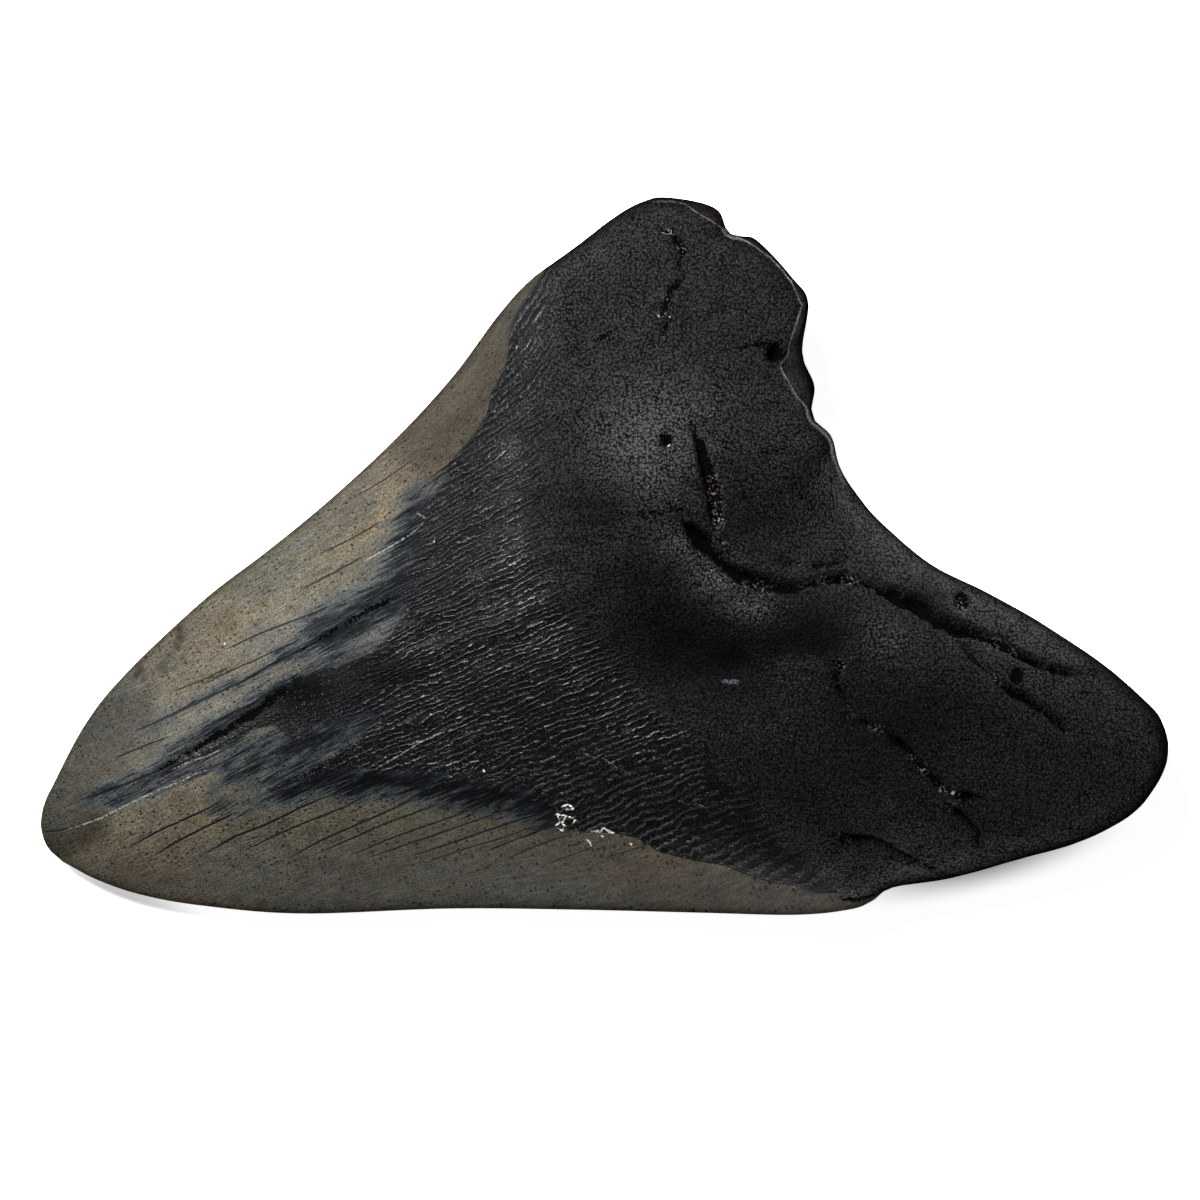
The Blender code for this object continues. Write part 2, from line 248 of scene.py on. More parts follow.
# Cracks of the root: depth in millimetres, then pixels with the half-width there, in pixels
rootCracks = [
    (0.6, [(663, 232, 0.4), (672, 234, 2.0), (677, 244, 2.6), (683, 253, 2.6), (679, 261, 1.4),
           (678, 269, 0.9), (684, 276, 0.7), (678, 286, 0.9), (670, 294, 2.4), (667, 306, 3.2),
           (660, 317, 2.2), (669, 319, 1.8), (663, 333, 1.3), (666, 343, 0.8)]),
    (1.0, [(692, 424, 0.4), (696, 439, 3.4), (701, 451, 4.2), (704, 465, 4.8), (709, 477, 6.2),
           (713, 496, 7.6), (715, 510, 6.8), (716, 520, 5.0), (714, 529, 1.2), (714, 536, 1.0),
           (725, 546, 1.2), (729, 553, 0.8)]),
    (1.4, [(684, 526, 1.0), (691, 532, 6.0), (700, 542, 9.0), (706, 548, 7.0), (713, 555, 4.0),
           (725, 567, 4.0), (737, 575, 7.0), (756, 582, 7.2), (773, 587, 5.6), (788, 588.5, 3.8),
           (807, 583.5, 3.0), (824, 579, 2.4), (841, 577, 3.2), (855, 580, 2.0), (872, 584, 2.4),
           (880, 591, 3.2), (892, 594, 6.2), (903, 602, 5.0), (915, 605, 7.4), (927, 614, 4.4),
           (938, 622, 5.8), (947, 624, 4.0), (956, 631, 6.4), (966, 630, 3.6), (978, 634.5, 5.2),
           (990, 637, 3.0), (1002, 643, 3.8), (1012, 651, 2.2), (1023, 656, 2.8), (1036, 664, 2.2),
           (1055, 669.5, 1.4), (1070, 672, 0.9), (1094, 673, 0.3)]),
    (0.6, [(775, 560, 0.6), (792, 564, 1.6), (810, 566, 2.2), (830, 564, 2.0), (846, 557, 0.6)]),
    (1.0, [(934, 622, 0.5), (951, 637, 0.8), (970, 656, 0.9), (986, 671, 1.1), (1001, 684, 1.6),
           (1014, 693.5, 3.2), (1027, 699.5, 3.2), (1042, 710.5, 3.4), (1057, 723.5, 2.2),
           (1066, 733, 0.8)]),
    (0.9, [(838, 664, 2.0), (834, 682, 0.8), (851, 713, 1.0), (860, 721, 1.5), (875, 727, 2.0),
           (888, 736.5, 2.8), (903, 747.5, 3.2), (916, 760.5, 2.4), (925, 771.5, 2.4), (938, 784.5, 2.8),
           (953, 794, 2.8), (967, 797, 3.4), (981, 798, 0.7)]),
    (0.6, [(943, 801, 0.8), (958, 812.5, 2.6), (966, 819, 2.6), (975, 828, 1.4), (979, 843, 0.6)]),
    (0.5, [(845, 838, 3.0), (872, 838, 1.4), (887, 845, 1.6), (901, 853, 2.0), (916, 860, 1.8),
           (935, 869, 1.4), (949, 874, 0.9), (962, 875, 0.5)]),
    (0.5, [(834, 892, 0.6), (843, 899, 1.6), (863, 899, 1.6), (882, 892, 0.6)]),
    (0.2, [(612, 514, 0.4), (654, 514, 0.9), (676, 510, 0.9), (703, 516, 0.5)]),
    (0.2, [(734, 503, 0.5), (757, 497, 0.7), (790, 492.5, 0.5)]),
    (0.1, [(756, 455, 0.4), (772, 452, 0.5), (787, 448, 0.4)]),
    (0.2, [(598, 341, 1.0), (604, 336.5, 1.8), (617, 330, 0.8)]),
    (0.3, [(738, 350, 0.4), (752, 345, 1.4), (762, 346, 2.5), (776, 350, 2.5)]),
]
# Pits: pixel, radius and depth in millimetres
pits = [
    ((665.5, 441), 0.85, 1.2),                     # nutrient hole
    ((775, 355), 1.1, 1.5),                        # notch at the broken rim
    ((960, 602), 1.0, 0.9),
    ((1016, 674), 0.9, 0.35),
    ((556, 544), 0.8, 0.2),
    ((845, 838), 0.7, 0.5),
    ((838, 664), 0.5, 0.4),
]
# Grooves along the crown's fibres, where the enamel has split
crownGrooves = [
    (0.30, [(410, 594, 0.8), (381, 603.5, 2.2), (354, 618, 2.4), (327, 634.5, 1.6), (300, 651, 0.8)]),
    (0.35, [(285, 689, 2.0), (257, 711, 3.2), (223, 732, 3.2), (201, 745, 2.4), (180, 758, 1.2),
            (159, 770.5, 1.0)]),
]
roughRidges = [                                    # pixels, half-width and rise in millimetres
    ([(447, 716), (428, 719), (390, 730), (354, 746), (325, 762), (302, 775)], 0.45, 0.14),
    ([(460, 727), (422, 741), (392, 759), (362, 775)], 0.30, 0.10),
    ([(490, 732), (463, 743), (436, 754), (405, 772)], 0.40, 0.12),
    ([(525, 754), (490, 768), (463, 773), (430, 789)], 0.35, 0.10),
    ([(626, 691), (660, 717), (697, 748), (733, 782), (757, 806)], 0.55, 0.10),
    ([(690, 548), (720, 585), (745, 610), (760, 616)], 2.2, 0.40),
    ([(787, 666), (805, 664), (822, 668)], 1.2, 0.30),
    ([(590, 350), (602, 342), (617, 333)], 0.8, 0.15),
    ([(545, 486), (580, 480), (620, 484), (660, 478), (690, 482)], 0.5, 0.14),
    ([(550, 500), (600, 503), (650, 497), (695, 502)], 0.5, 0.20),
    ([(556, 520), (600, 516), (650, 511), (700, 514)], 0.5, 0.24),
    ([(565, 537), (600, 533), (640, 528), (676, 530)], 0.5, 0.15),
]


crackShape = {                                     # millimetres
    "wander": [(0.16, 1.3, 43), (0.14, 0.55, 44)],  # swing and wave of the noise, seed
    "shoulder": (-0.45, 0.55),                     # where a crack begins and where it is full
    "pitSwing": 0.25, "pitWave": 1.1, "pitShoulder": 0.25, "darkPit": 0.3,
    "crater": ((733, 667), 1.7, 0.40),             # pixel, radius and depth
}


def widthGap(places, line):
    # distance in millimetres to a line less its half-width at the nearest point, with a sideways wander
    wander = sum(swing * latticeNoise(places / (wave * millimetre), seed)
                 for swing, wave, seed in crackShape["wander"])
    nearest = np.full(places.shape[:-1], 99.0)
    for (startX, startY, startWide), (stopX, stopY, stopWide) in zip(line[:-1], line[1:]):
        start, stop = toPlace((startX, startY)), toPlace((stopX, stopY))
        span = stop - start
        share = np.clip(((places - start) @ span) / (span @ span), 0, 1)
        gap = np.linalg.norm(places - start - share[..., None] * span, axis=-1)
        wide = (startWide + (stopWide - startWide) * share) * pixel
        nearest = np.minimum(nearest, (gap - wide) / millimetre)
    return nearest + wander


def carvedDepth(places):
    # cracks and pits with soft shoulders, deepest in the middle; also how far inside a crack each place is
    depth = np.zeros(places.shape[:-1])
    edge = np.full(places.shape[:-1], 9.0)
    for deep, line in rootCracks + crownGrooves:
        gap = widthGap(places, line)
        edge = np.minimum(edge, gap)
        depth = np.maximum(depth, deep * ease(-gap, *crackShape["shoulder"]))
    for spot, radius, deep in pits:
        away = np.linalg.norm(places - toPlace(spot), axis=-1) / millimetre
        swing = crackShape["pitSwing"] * latticeNoise(places / (crackShape["pitWave"] * millimetre), 47)
        away = away * (1 + swing)
        depth = np.maximum(depth, deep * ease(radius + crackShape["pitShoulder"] - away, 0, radius))
        # deeper pits join the cracks' mark, which the material paints near-black as shade
        if deep > crackShape["darkPit"]:
            edge = np.minimum(edge, away - radius)
    return depth, edge


def raisedHeight(places):
    rise = np.zeros(places.shape[:-1])
    for points, halfWidth, high in roughRidges:
        gap = lineGap(places, toPlace(points)) / millimetre
        rise = np.maximum(rise, high * np.exp(-(gap / halfWidth) ** 2))
    spot, radius, deep = crackShape["crater"]
    away = np.linalg.norm(places - toPlace(spot), axis=-1) / millimetre
    return rise - deep * np.exp(-(away / radius) ** 4)


# Directions of the fibres and wrinkles: pixel and degrees above the horizontal
fibreTurns = np.array([
    (60, 830, 21), (150, 815, 25), (250, 830, 25), (300, 680, 32), (227, 755, 29), (474, 617, 25),
    (475, 485, 27), (503, 750, 15), (503, 833, 18), (583, 681, 19), (660, 760, 14), (758, 851, 28),
    (800, 870, 43), (515, 380, 50), (525, 350, 57), (548, 280, 68), (597, 526, 4), (611, 582, 10),
    (560, 430, 55), (600, 330, 50), (720, 820, 20), (860, 640, -10), (1000, 700, -32),
    (440, 560, 31), (520, 560, 25), (540, 620, 24), (450, 680, 25), (540, 720, 20), (620, 720, 19),
], float)
fibreFit = {
    "power": 6, "evenness": 0.3, "reach": 60, "near": 90, "span": 500, "middle": 600,
    "right": (40, 1180), "down": (190, 925), "pitch": 20.0,  # pixels of the places that are fitted
}


def powerTerms(x, y):
    # products of powers of the place, and their slopes to the right and up
    x, y = (x - fibreFit["middle"]) / fibreFit["span"], (fibreFit["middle"] - y) / fibreFit["span"]
    powers = [(i, j) for i in range(fibreFit["power"] + 1) for j in range(fibreFit["power"] + 1 - i) if i + j]
    value = np.stack([x ** i * y ** j for i, j in powers], axis=-1)
    right = np.stack([i * x ** max(i - 1, 0) * y ** j for i, j in powers], axis=-1)
    up = np.stack([j * x ** i * y ** max(j - 1, 0) for i, j in powers], axis=-1)
    return value, right, up


def fibreCoordinate(x, y, turn):
    # least squares: the polynomial that climbs at `turn` degrees from the measured fibres and is
    # level across that
    lattice = np.meshgrid(*(np.arange(*fibreFit[side], fibreFit["pitch"]) for side in ("right", "down")))
    spotX, spotY = (part.ravel() for part in lattice)
    away = (spotX[:, None] - fibreTurns[:, 0]) ** 2 + (spotY[:, None] - fibreTurns[:, 1]) ** 2
    weight = np.exp(-away / (2 * fibreFit["reach"] ** 2)) + 1e-9
    angle = np.radians((weight * fibreTurns[:, 2]).sum(-1) / weight.sum(-1) + turn)
    trust = np.exp(-away / (2 * fibreFit["near"] ** 2)).max(-1) + 0.05
    right, up = powerTerms(spotX, spotY)[1:]
    cos, sin = np.cos(angle)[:, None], np.sin(angle)[:, None]
    even = fibreFit["evenness"] * trust
    rows = np.vstack([(right * cos + up * sin) * even[:, None], (up * cos - right * sin) * trust[:, None]])
    factors = np.linalg.lstsq(rows, np.concatenate([even, 0 * even]), rcond=None)[0]
    return powerTerms(x, y)[0] @ factors * fibreFit["span"] * pixel / millimetre


# Where the crown is black and wrinkled: the neck band and the dark wedge towards the tip
neckBorder = [(547, 268), (522, 305), (511, 326), (509, 346), (507, 365), (499, 382), (491.5, 393.5),
              (490.6, 403), (487, 416), (472, 439), (455, 458), (440, 476), (425, 500)]
lipBorder = [(572, 829), (584, 832), (616, 832), (637, 837), (660, 851), (680, 856), (697, 860), (725, 864),
             (738, 870), (755, 876), (776, 882.5), (796, 884), (813, 893), (834, 893)]
blackZone = [(556, 255), *neckBorder, (417, 514), (427, 524), (420, 545), (412, 570), (410, 592),
             (404, 604), (398, 620), (392, 634), (368, 653), (341, 665), (316, 671), (300, 681), (285, 690),
             (266, 702), (244, 719), (223, 732),
             (201, 743), (180, 757), (165, 765), (165, 769), (201, 755), (219, 748), (240, 739), (255, 729),
             (276, 727), (302, 742), (305, 731), (322, 722), (349, 715), (371, 711), (378, 719), (368, 731),
             (349, 744), (327, 757), (305, 769), (290, 778), (270, 791), (300, 780), (330, 771), (360, 768),
             (400, 771), (440, 774), (470, 778), (510, 787), (545, 801), (556, 808),
             (560, 828), *lipBorder, (847, 898), (868, 898), (893, 887.5), (990, 980), (1250, 900),
             (1250, 500), (900, 100), (620, 120)]
rootLine = [(558, 200), (556, 290), (545, 380), (541, 450), (540, 520), (562, 600), (600, 648), (640, 692),
            (700, 745), (760, 810), (790, 845), (830, 878), (900, 930), (1300, 1000), (1300, 100), (558, 100)]

relief = {                                         # height and wave in millimetres, seed, layers of noise
    "lumps": (0.20, 9, 11, 3), "dents": (0.09, 2.0, 21, 3), "broken": (0.35, 2.2, 51, 4),
    "folds": 0.05, "foldWaves": (4.5, 1.3), "enamelStep": 0.10,
}


def roughened(places, name, share):
    high, wave, seed, layers = relief[name]
    return high * share * layeredNoise(places / (wave * millimetre), seed, layers)


def lingualRelief(places, share):
    x, y = (places[..., axis] / pixel * (1, -1)[axis] + middlePixel[axis] for axis in (0, 1))
    marks = {"along": fibreCoordinate(x, y, 0), "across": fibreCoordinate(x, y, 90)}
    black = loopDepth(places, toPlace(blackZone)) / millimetre
    root = loopDepth(places, toPlace(rootLine)) / millimetre
    onRoot = ease(root, -1.5, 1.5)
    alongWave, acrossWave = relief["foldWaves"]
    folds = latticeNoise(np.stack([marks["along"] / alongWave, marks["across"] / acrossWave], axis=-1), 31)
    rise = roughened(places, "lumps", onRoot)
    rise += roughened(places, "dents", onRoot)
    rise += relief["folds"] * ease(black, -0.5, 1) * folds
    rise -= relief["enamelStep"] * ease(black, -0.12, 0.12) * (1 - onRoot) * ease(x, 400, 470)
    broken = loopDepth(places, brokenFace()[2]) / millimetre
    rise += roughened(places, "broken", ease(broken, -0.1, 0.25))
    depth, edge = carvedDepth(places)
    rise = (rise - depth + raisedHeight(places)) * np.clip(share * 1.6, 0.15, 1)
    marks.update({"black": black, "root": root, "broken": broken, "crack": edge})
    return rise * millimetre, marks, x, y


# Shaded areas, as strokes of a brush: points, half-width in pixels, softness in pixels, strength
blueStrokes = [                                    # from tan (0) through blue-grey (0.5) to black (1)
    ([(428, 516), (412, 560), (395, 592)], 6, 46, 0.86),
    ([(410, 594), (381, 603), (354, 618), (327, 634)], 3, 44, 0.86),
    ([(327, 634), (300, 651), (281, 659)], 2, 18, 0.70),
    ([(281, 659), (244, 681), (212, 695)], 1, 12, 0.50),
    ([(212, 695), (180, 711), (140, 730)], 1, 14, 0.36),
    ([(385, 632), (350, 650), (320, 665)], 12, 18, 0.55),
    ([(320, 665), (285, 680), (262, 692)], 12, 18, 0.30),
    ([(262, 692), (225, 712), (190, 732)], 9, 18, 0.06),
    ([(300, 682), (257, 708), (223, 729)], 4, 15, 0.86),
    ([(223, 729), (195, 747), (159, 769)], 4, 20, 0.74),
    ([(159, 769), (120, 786), (90, 797)], 3, 14, 0.52),
    ([(250, 746), (205, 762), (150, 785), (112, 802)], 7, 9, 0.58),
    ([(310, 738), (275, 748), (240, 764)], 12, 26, 0.62),
    ([(300, 775), (260, 778), (225, 784)], 8, 26, 0.42),
    ([(366, 722), (340, 733), (305, 745)], 15, 10, 0.74),
    ([(560, 812), (520, 798), (470, 788), (420, 782)], 2, 40, 0.90),
    ([(420, 782), (360, 778), (318, 774), (284, 784)], 1, 40, 0.86),
    ([(300, 780), (260, 794), (225, 806)], 2, 30, 0.42),
    ([(70, 815), (60, 830)], 8, 22, 0.12),
]
blueDrag = {"length": 7, "along": 14, "across": 0.42, "slant": 27}
toneAndPaintedShadeStrokes = [                                    # darker enamel: partly its own tone, partly painted shade
    ([(530, 285), (505, 320), (470, 375), (430, 425)], 24, 60, 0.85),
    ([(420, 430), (350, 490), (300, 530), (240, 590), (180, 640), (140, 680)], 6, 34, 0.36),
    ([(58, 790), (72, 825), (112, 856)], 8, 24, 0.28),
    ([(45, 825), (60, 780), (95, 750), (120, 720)], 20, 50, 0.75),
    ([(60, 860), (100, 875), (160, 890)], 4, 40, 0.40),
    ([(190, 900), (400, 905), (600, 908)], 2, 18, 0.30),
    ([(640, 895), (720, 900), (800, 912)], 8, 24, 0.45),
    ([(50, 830), (75, 815)], 16, 40, 1.0),
]
splitStrokes = [                                   # enamel split into fine dark lines along the fibres
    ([(190, 835), (300, 822), (400, 812), (480, 812), (570, 836)], 12, 24, 1.0),
    ([(190, 712), (250, 675), (320, 625), (390, 560)], 8, 26, 0.8),
    ([(430, 470), (480, 400), (505, 340)], 6, 16, 0.7),
]
paintedLightSpots = [                                    # more or less gloss on the root, and painted highlights and shade in its grit and sparkles: pixel, radii, change
    ((665, 440), (60, 50), 1.1), ((640, 495), (50, 40), 0.9), ((800, 668), (30, 12), 1.8),
    ((680, 546), (22, 16), 2.0), ((712, 580), (24, 18), 3.0), ((745, 610), (26, 14), 3.0),
    ((700, 655), (80, 50), -0.8), ((815, 635), (56, 40), -0.8), ((925, 600), (46, 34), -0.75),
    ((600, 510), (34, 26), -0.5), ((650, 575), (40, 26), -0.45), ((900, 720), (60, 44), -0.5),
    ((880, 640), (30, 22), 1.5), ((300, 690), (70, 36), -0.99), ((380, 668), (50, 24), -0.8),
    ((600, 500), (60, 30), -0.5), ((650, 410), (60, 40), 0.4), ((680, 820), (110, 60), -0.45),
    ((990, 835), (100, 40), -0.35), ((560, 700), (70, 50), -0.35), ((820, 780), (80, 60), -0.25),
    ((430, 790), (60, 24), 1.2), ((698, 572), (42, 26), 0.7), ((745, 616), (44, 18), 0.8),
    ((835, 480), (34, 34), -0.5), ((430, 600), (46, 60), -0.4),
    ((780, 440), (40, 40), 0.8), ((1000, 830), (80, 30), 0.2), ((733, 662), (20, 18), -0.6),
]
brownStrokes = [
    ([(495, 340), (470, 400), (430, 450), (380, 500)], 10, 26, 0.80),
    ([(430, 470), (370, 520), (320, 560)], 10, 26, 0.80),
    ([(250, 612), (200, 650), (175, 690)], 10, 34, 0.60),
    ([(182, 783), (205, 790), (214, 800)], 14, 14, 0.85),
    ([(196, 812), (205, 822)], 8, 12, 0.6),
    ([(560, 856), (640, 870), (720, 893)], 10, 26, 0.70),
    ([(460, 862), (520, 850), (560, 845)], 8, 22, 0.50),
    ([(90, 860), (150, 880), (220, 892)], 14, 26, 0.45),
]
greyStrokes = [
    ([(50, 800), (90, 735), (128, 690)], 10, 26, 0.75),
    ([(360, 498), (330, 530), (290, 560), (250, 590)], 8, 20, 0.55),
    ([(230, 870), (330, 880), (460, 885), (560, 895)], 20, 30, 0.65),
    ([(150, 722), (190, 712), (240, 690)], 8, 16, 0.60),
    ([(155, 713), (168, 712)], 7, 8, 0.9),
    ([(164, 662), (172, 667)], 4, 6, 0.9),
    ([(260, 640), (300, 620)], 8, 20, 0.5),
]
stains = [                                         # small dark brown marks: pixel, radius in pixels, strength
    ((179, 630), 5, 1.0), ((180, 638), 5, 1.0), ((177, 646), 5, 0.9), ((170, 656), 4, 0.6),
    ((163, 668), 6, 0.7), ((140, 670), 5, 1.0), ((136, 676), 4, 0.9), ((143, 679), 4, 0.8),
    ((120, 711), 4, 0.55), ((119, 733), 5, 0.6), ((124, 745), 3, 0.5), ((110, 739), 4, 0.4),
    ((214, 783), 4, 0.5), ((207, 800), 5, 0.5), ((87, 850), 2, 0.9), ((66, 854), 5, 0.4),
    ((235, 898), 7, 0.5), ((262, 905), 6, 0.4), ((142, 838), 5, 0.5), ((160, 840), 4, 0.4),
]
softBorders = {                                    # where the black's border is soft
    "wedge": ((335, 690), (125, 90), 0.55),        # pixel, radii in pixels, share of them that is full
    "lip": ((440, 790), (150, 24), 0.6),
    "neck": [(436, 484), (420, 530), (408, 600)],  # pixels along it
    "neckReach": (8, 34),
}


def brushed(x, y, strokes):
    # the strongest stroke at each place: full on the stroke, easing to nothing over its softness
    places = np.stack([x, y], axis=-1)
    shade = np.zeros(x.shape)
    for points, halfWidth, soft, strength in strokes:
        gap = lineGap(places, smoothCurve(points, 4))
        shade = np.maximum(shade, strength * (1 - ease(gap, halfWidth, halfWidth + soft)))
    return shade


def dotted(x, y, spots):
    shade = np.zeros(x.shape)
    for (spotX, spotY), radius, strength in spots:
        away = np.hypot(x - spotX, y - spotY)
        shade = np.maximum(shade, strength * (1 - ease(away, radius * 0.4, radius * 1.4)))
    return shade


# Thin marks: pixels along each and the widest half-width in pixels
darkLines = [
    ([(44, 833), (62, 830), (80, 826)], 0.9),
    ([(300, 651), (281, 659), (244, 681), (212, 695.5), (180, 711), (159, 721), (133, 732)], 1.2),
    ([(169, 736.5), (150, 744), (137, 749), (113.5, 759)], 0.8),
    ([(170, 764), (159, 770.5), (133, 781.5), (105, 792), (79, 800.5)], 1.2),
    ([(128, 848), (159, 831), (201, 812), (226, 800)], 1.0),
    ([(154, 856), (180, 840), (210, 825), (240, 811)], 1.1),
    ([(203, 855), (236, 836), (270, 823), (304, 806), (330, 795)], 1.1),
    ([(244, 851), (270, 838), (304, 823), (347, 806), (369, 795)], 0.9),
    ([(287, 859), (322, 840), (356, 825), (399, 806), (416, 798)], 1.0),
    ([(309, 857), (339, 844), (386, 823), (433, 806), (450, 796)], 0.9),
    ([(347, 857), (386, 840), (416, 829), (459, 814), (490, 800)], 0.9),
    ([(364, 859), (399, 847), (442, 832), (484, 817), (520, 804)], 0.9),
    ([(407, 857), (442, 846), (484, 831), (526, 817), (556, 808)], 1.0),
    ([(424, 863), (460, 850), (500, 838), (540, 824)], 0.8),
    ([(480, 853), (518, 838), (560, 822)], 0.9),
    ([(505, 859), (539, 844), (568, 834)], 0.8),
    ([(547, 863), (581, 851), (598, 844)], 0.7),
    ([(600, 859), (628, 850), (652, 843)], 0.6),
    ([(318, 555), (350, 540), (385, 520)], 0.7),
    ([(300, 590), (330, 575), (365, 556)], 0.7),
    ([(225, 650), (262, 633), (304, 617), (330, 607)], 0.8),
    ([(201, 686), (231, 671), (262, 657), (300, 640)], 0.6),
    ([(171, 692), (201, 681), (236, 664)], 0.5),
    ([(350, 500), (385, 480), (420, 455)], 0.6),
    ([(260, 700), (230, 714), (200, 730)], 0.5),
    ([(563, 832), *lipBorder], 0.9),
    ([*neckBorder, (416, 513)], 0.7),
]
paleLines = [
    ([(64, 830), (81, 825), (101, 818), (122, 807), (144, 796.5), (159, 790), (180, 781.5), (197, 773),
      (214, 768)], 0.8),
    ([(223, 749), (207, 756), (189, 762), (170, 771)], 0.6),
    ([(417, 513), (426, 518)], 0.7),
    ([(426, 521), (412, 534), (394, 545), (375, 556), (360, 564)], 0.7),
    ([(460, 727), (440, 733), (422, 741), (405, 752), (392, 759), (375, 769)], 0.7),
    ([(577, 748), (590, 756), (604, 758), (618, 768), (634, 774)], 0.25),
    ([(677, 798), (686, 804), (696, 803), (708, 808)], 0.25),
]
rimLines = [(plan["breakRim"], 0.6)]
fleckLines = [                                     # white flecks of dirt: pixels, half-width in pixels
    ([(562, 806), (568, 803.5), (574, 807.5), (566, 809)], 0.7),
    ([(556.5, 813.5), (565, 815), (573.5, 817)], 0.6), ([(558, 815.5), (560, 821), (556.5, 824.5)], 0.5),
    ([(565.5, 817), (562, 823), (566.5, 825.5)], 0.5), ([(559, 828), (562.5, 830), (563.5, 827)], 0.5),
    ([(575, 819), (573.5, 822)], 0.5),
    ([(591.5, 830.5), (600, 831), (604, 827.5), (608.5, 830.5), (613.5, 832)], 0.8),
    ([(585.5, 838), (589.5, 841), (591.5, 845.5)], 0.6), ([(602, 835.5), (603, 836)], 0.6),
    ([(630, 843), (631, 843.5)], 0.9), ([(484, 770), (485, 771)], 0.7),
]
sandSpots = [                                      # pixel, radius in pixels, strength
    ((712, 484), 9, 0.8), ((718, 520), 8, 1.0), ((709, 500), 12, 0.6), ((722, 545), 6, 0.9),
    ((716, 532), 4, 1.0), ((744, 587), 5, 1.0), ((769, 595), 5, 0.9), ((760, 592), 14, 0.45),
    ((825, 578), 7, 0.8), ((850, 583), 9, 0.8), ((800, 564), 5, 0.7), ((957, 606), 9, 1.0),
    ((980, 641), 6, 1.0), ((996, 642), 7, 0.8), ((1012, 654), 6, 0.9), ((1027, 666), 6, 0.8),
    ((905, 612), 8, 0.5), ((950, 636), 8, 0.6), ((994, 678), 8, 0.7), ((970, 693), 7, 0.7),
    ((1064, 737), 7, 0.8), ((1040, 716), 8, 0.4), ((876, 727), 8, 0.6), ((892, 765), 4, 0.7),
    ((920, 768), 7, 1.0), ((941, 790), 6, 0.9), ((910, 757), 6, 0.6), ((838, 664), 6, 0.8),
    ((851, 713), 7, 0.4), ((950, 804), 6, 0.6), ((666, 300), 5, 0.9), ((661, 317), 5, 0.9),
    ((680, 250), 6, 0.7), ((667, 233), 6, 0.9), ((665, 336), 5, 0.6), ((784, 372), 7, 0.5),
    ((797, 398), 6, 0.4), ((1085, 674), 9, 0.4), ((845, 838), 6, 0.5),
]
glintSpots = [                                     # patches that glitter: pixel, radius in pixels, strength
    ((297, 703), 26, 0.8), ((330, 692), 24, 0.7), ((292, 730), 9, 1.0), ((301, 735), 7, 1.0),
    ((360, 678), 20, 0.6), ((270, 722), 12, 0.6), ((375, 614), 10, 0.7), ((352, 628), 8, 0.6),
    ((330, 762), 10, 1.0), ((354, 747), 10, 0.9), ((385, 732), 10, 0.9), ((415, 722), 9, 0.8),
    ((443, 716), 8, 1.0), ((306, 775), 8, 1.0), ((470, 741), 10, 0.9), ((450, 750), 9, 0.9),
    ((505, 755), 9, 0.8), ((470, 771), 9, 0.8), ((445, 782), 8, 0.7), ((280, 762), 8, 0.6),
    ((250, 786), 7, 0.5), ((262, 779), 6, 0.6),
]
whiteGrains = [
    ((666.5, 444), 1.8), ((952, 793), 2.2), ((959, 795.5), 1.8), ((947, 789), 1.0), ((699, 449), 0.9),
    ((804, 589), 1.0), ((866, 709), 1.0), ((225, 644), 0.9), ((1088, 724), 0.9), ((766, 421), 0.7),
    ((658, 317), 0.9), ((669, 318), 0.9), ((823, 577), 0.9), ((968, 594), 0.7), ((719, 575), 0.6),
]


def strokeMarks(x, y, lines, reach=6.0):
    # signed distance to the nearest thin line, in pixels, and that line's half-width: none beyond the reach
    best = np.full(x.shape, 1e9)
    signed, width = np.full(x.shape, 99.0), np.zeros(x.shape)
    for points, halfWidth in lines:
        line = np.asarray(points, float)
        steps = np.linalg.norm(np.diff(line, axis=0), axis=1)
        run = np.concatenate([[0], np.cumsum(steps)])
        for k, (start, stop) in enumerate(zip(line[:-1], line[1:])):
            spanX, spanY = stop - start
            share = np.clip(((x - start[0]) * spanX + (y - start[1]) * spanY) / steps[k] ** 2, 0, 1)
            offX, offY = x - start[0] - share * spanX, y - start[1] - share * spanY
            gap = np.hypot(offX, offY)
            side = np.where(offX * spanY - offY * spanX >= 0, 1, -1)
            place = (run[k] + share * steps[k]) / run[-1]
            taper = np.clip(np.minimum(place, 1 - place) * 5, 0, 1) ** 0.6
            closer = gap < best
            best = np.where(closer, gap, best)
            signed = np.where(closer, gap * side, signed)
            width = np.where(closer, halfWidth * taper, width)
    return signed, width * (1 - ease(best, reach * 0.6, reach))


def ovalShare(x, y, middle, radii, full):
    # 1 in the middle of an oval, easing to 0 just outside it
    return 1 - ease(np.hypot((x - middle[0]) / radii[0], (y - middle[1]) / radii[1]), full, 1.1)


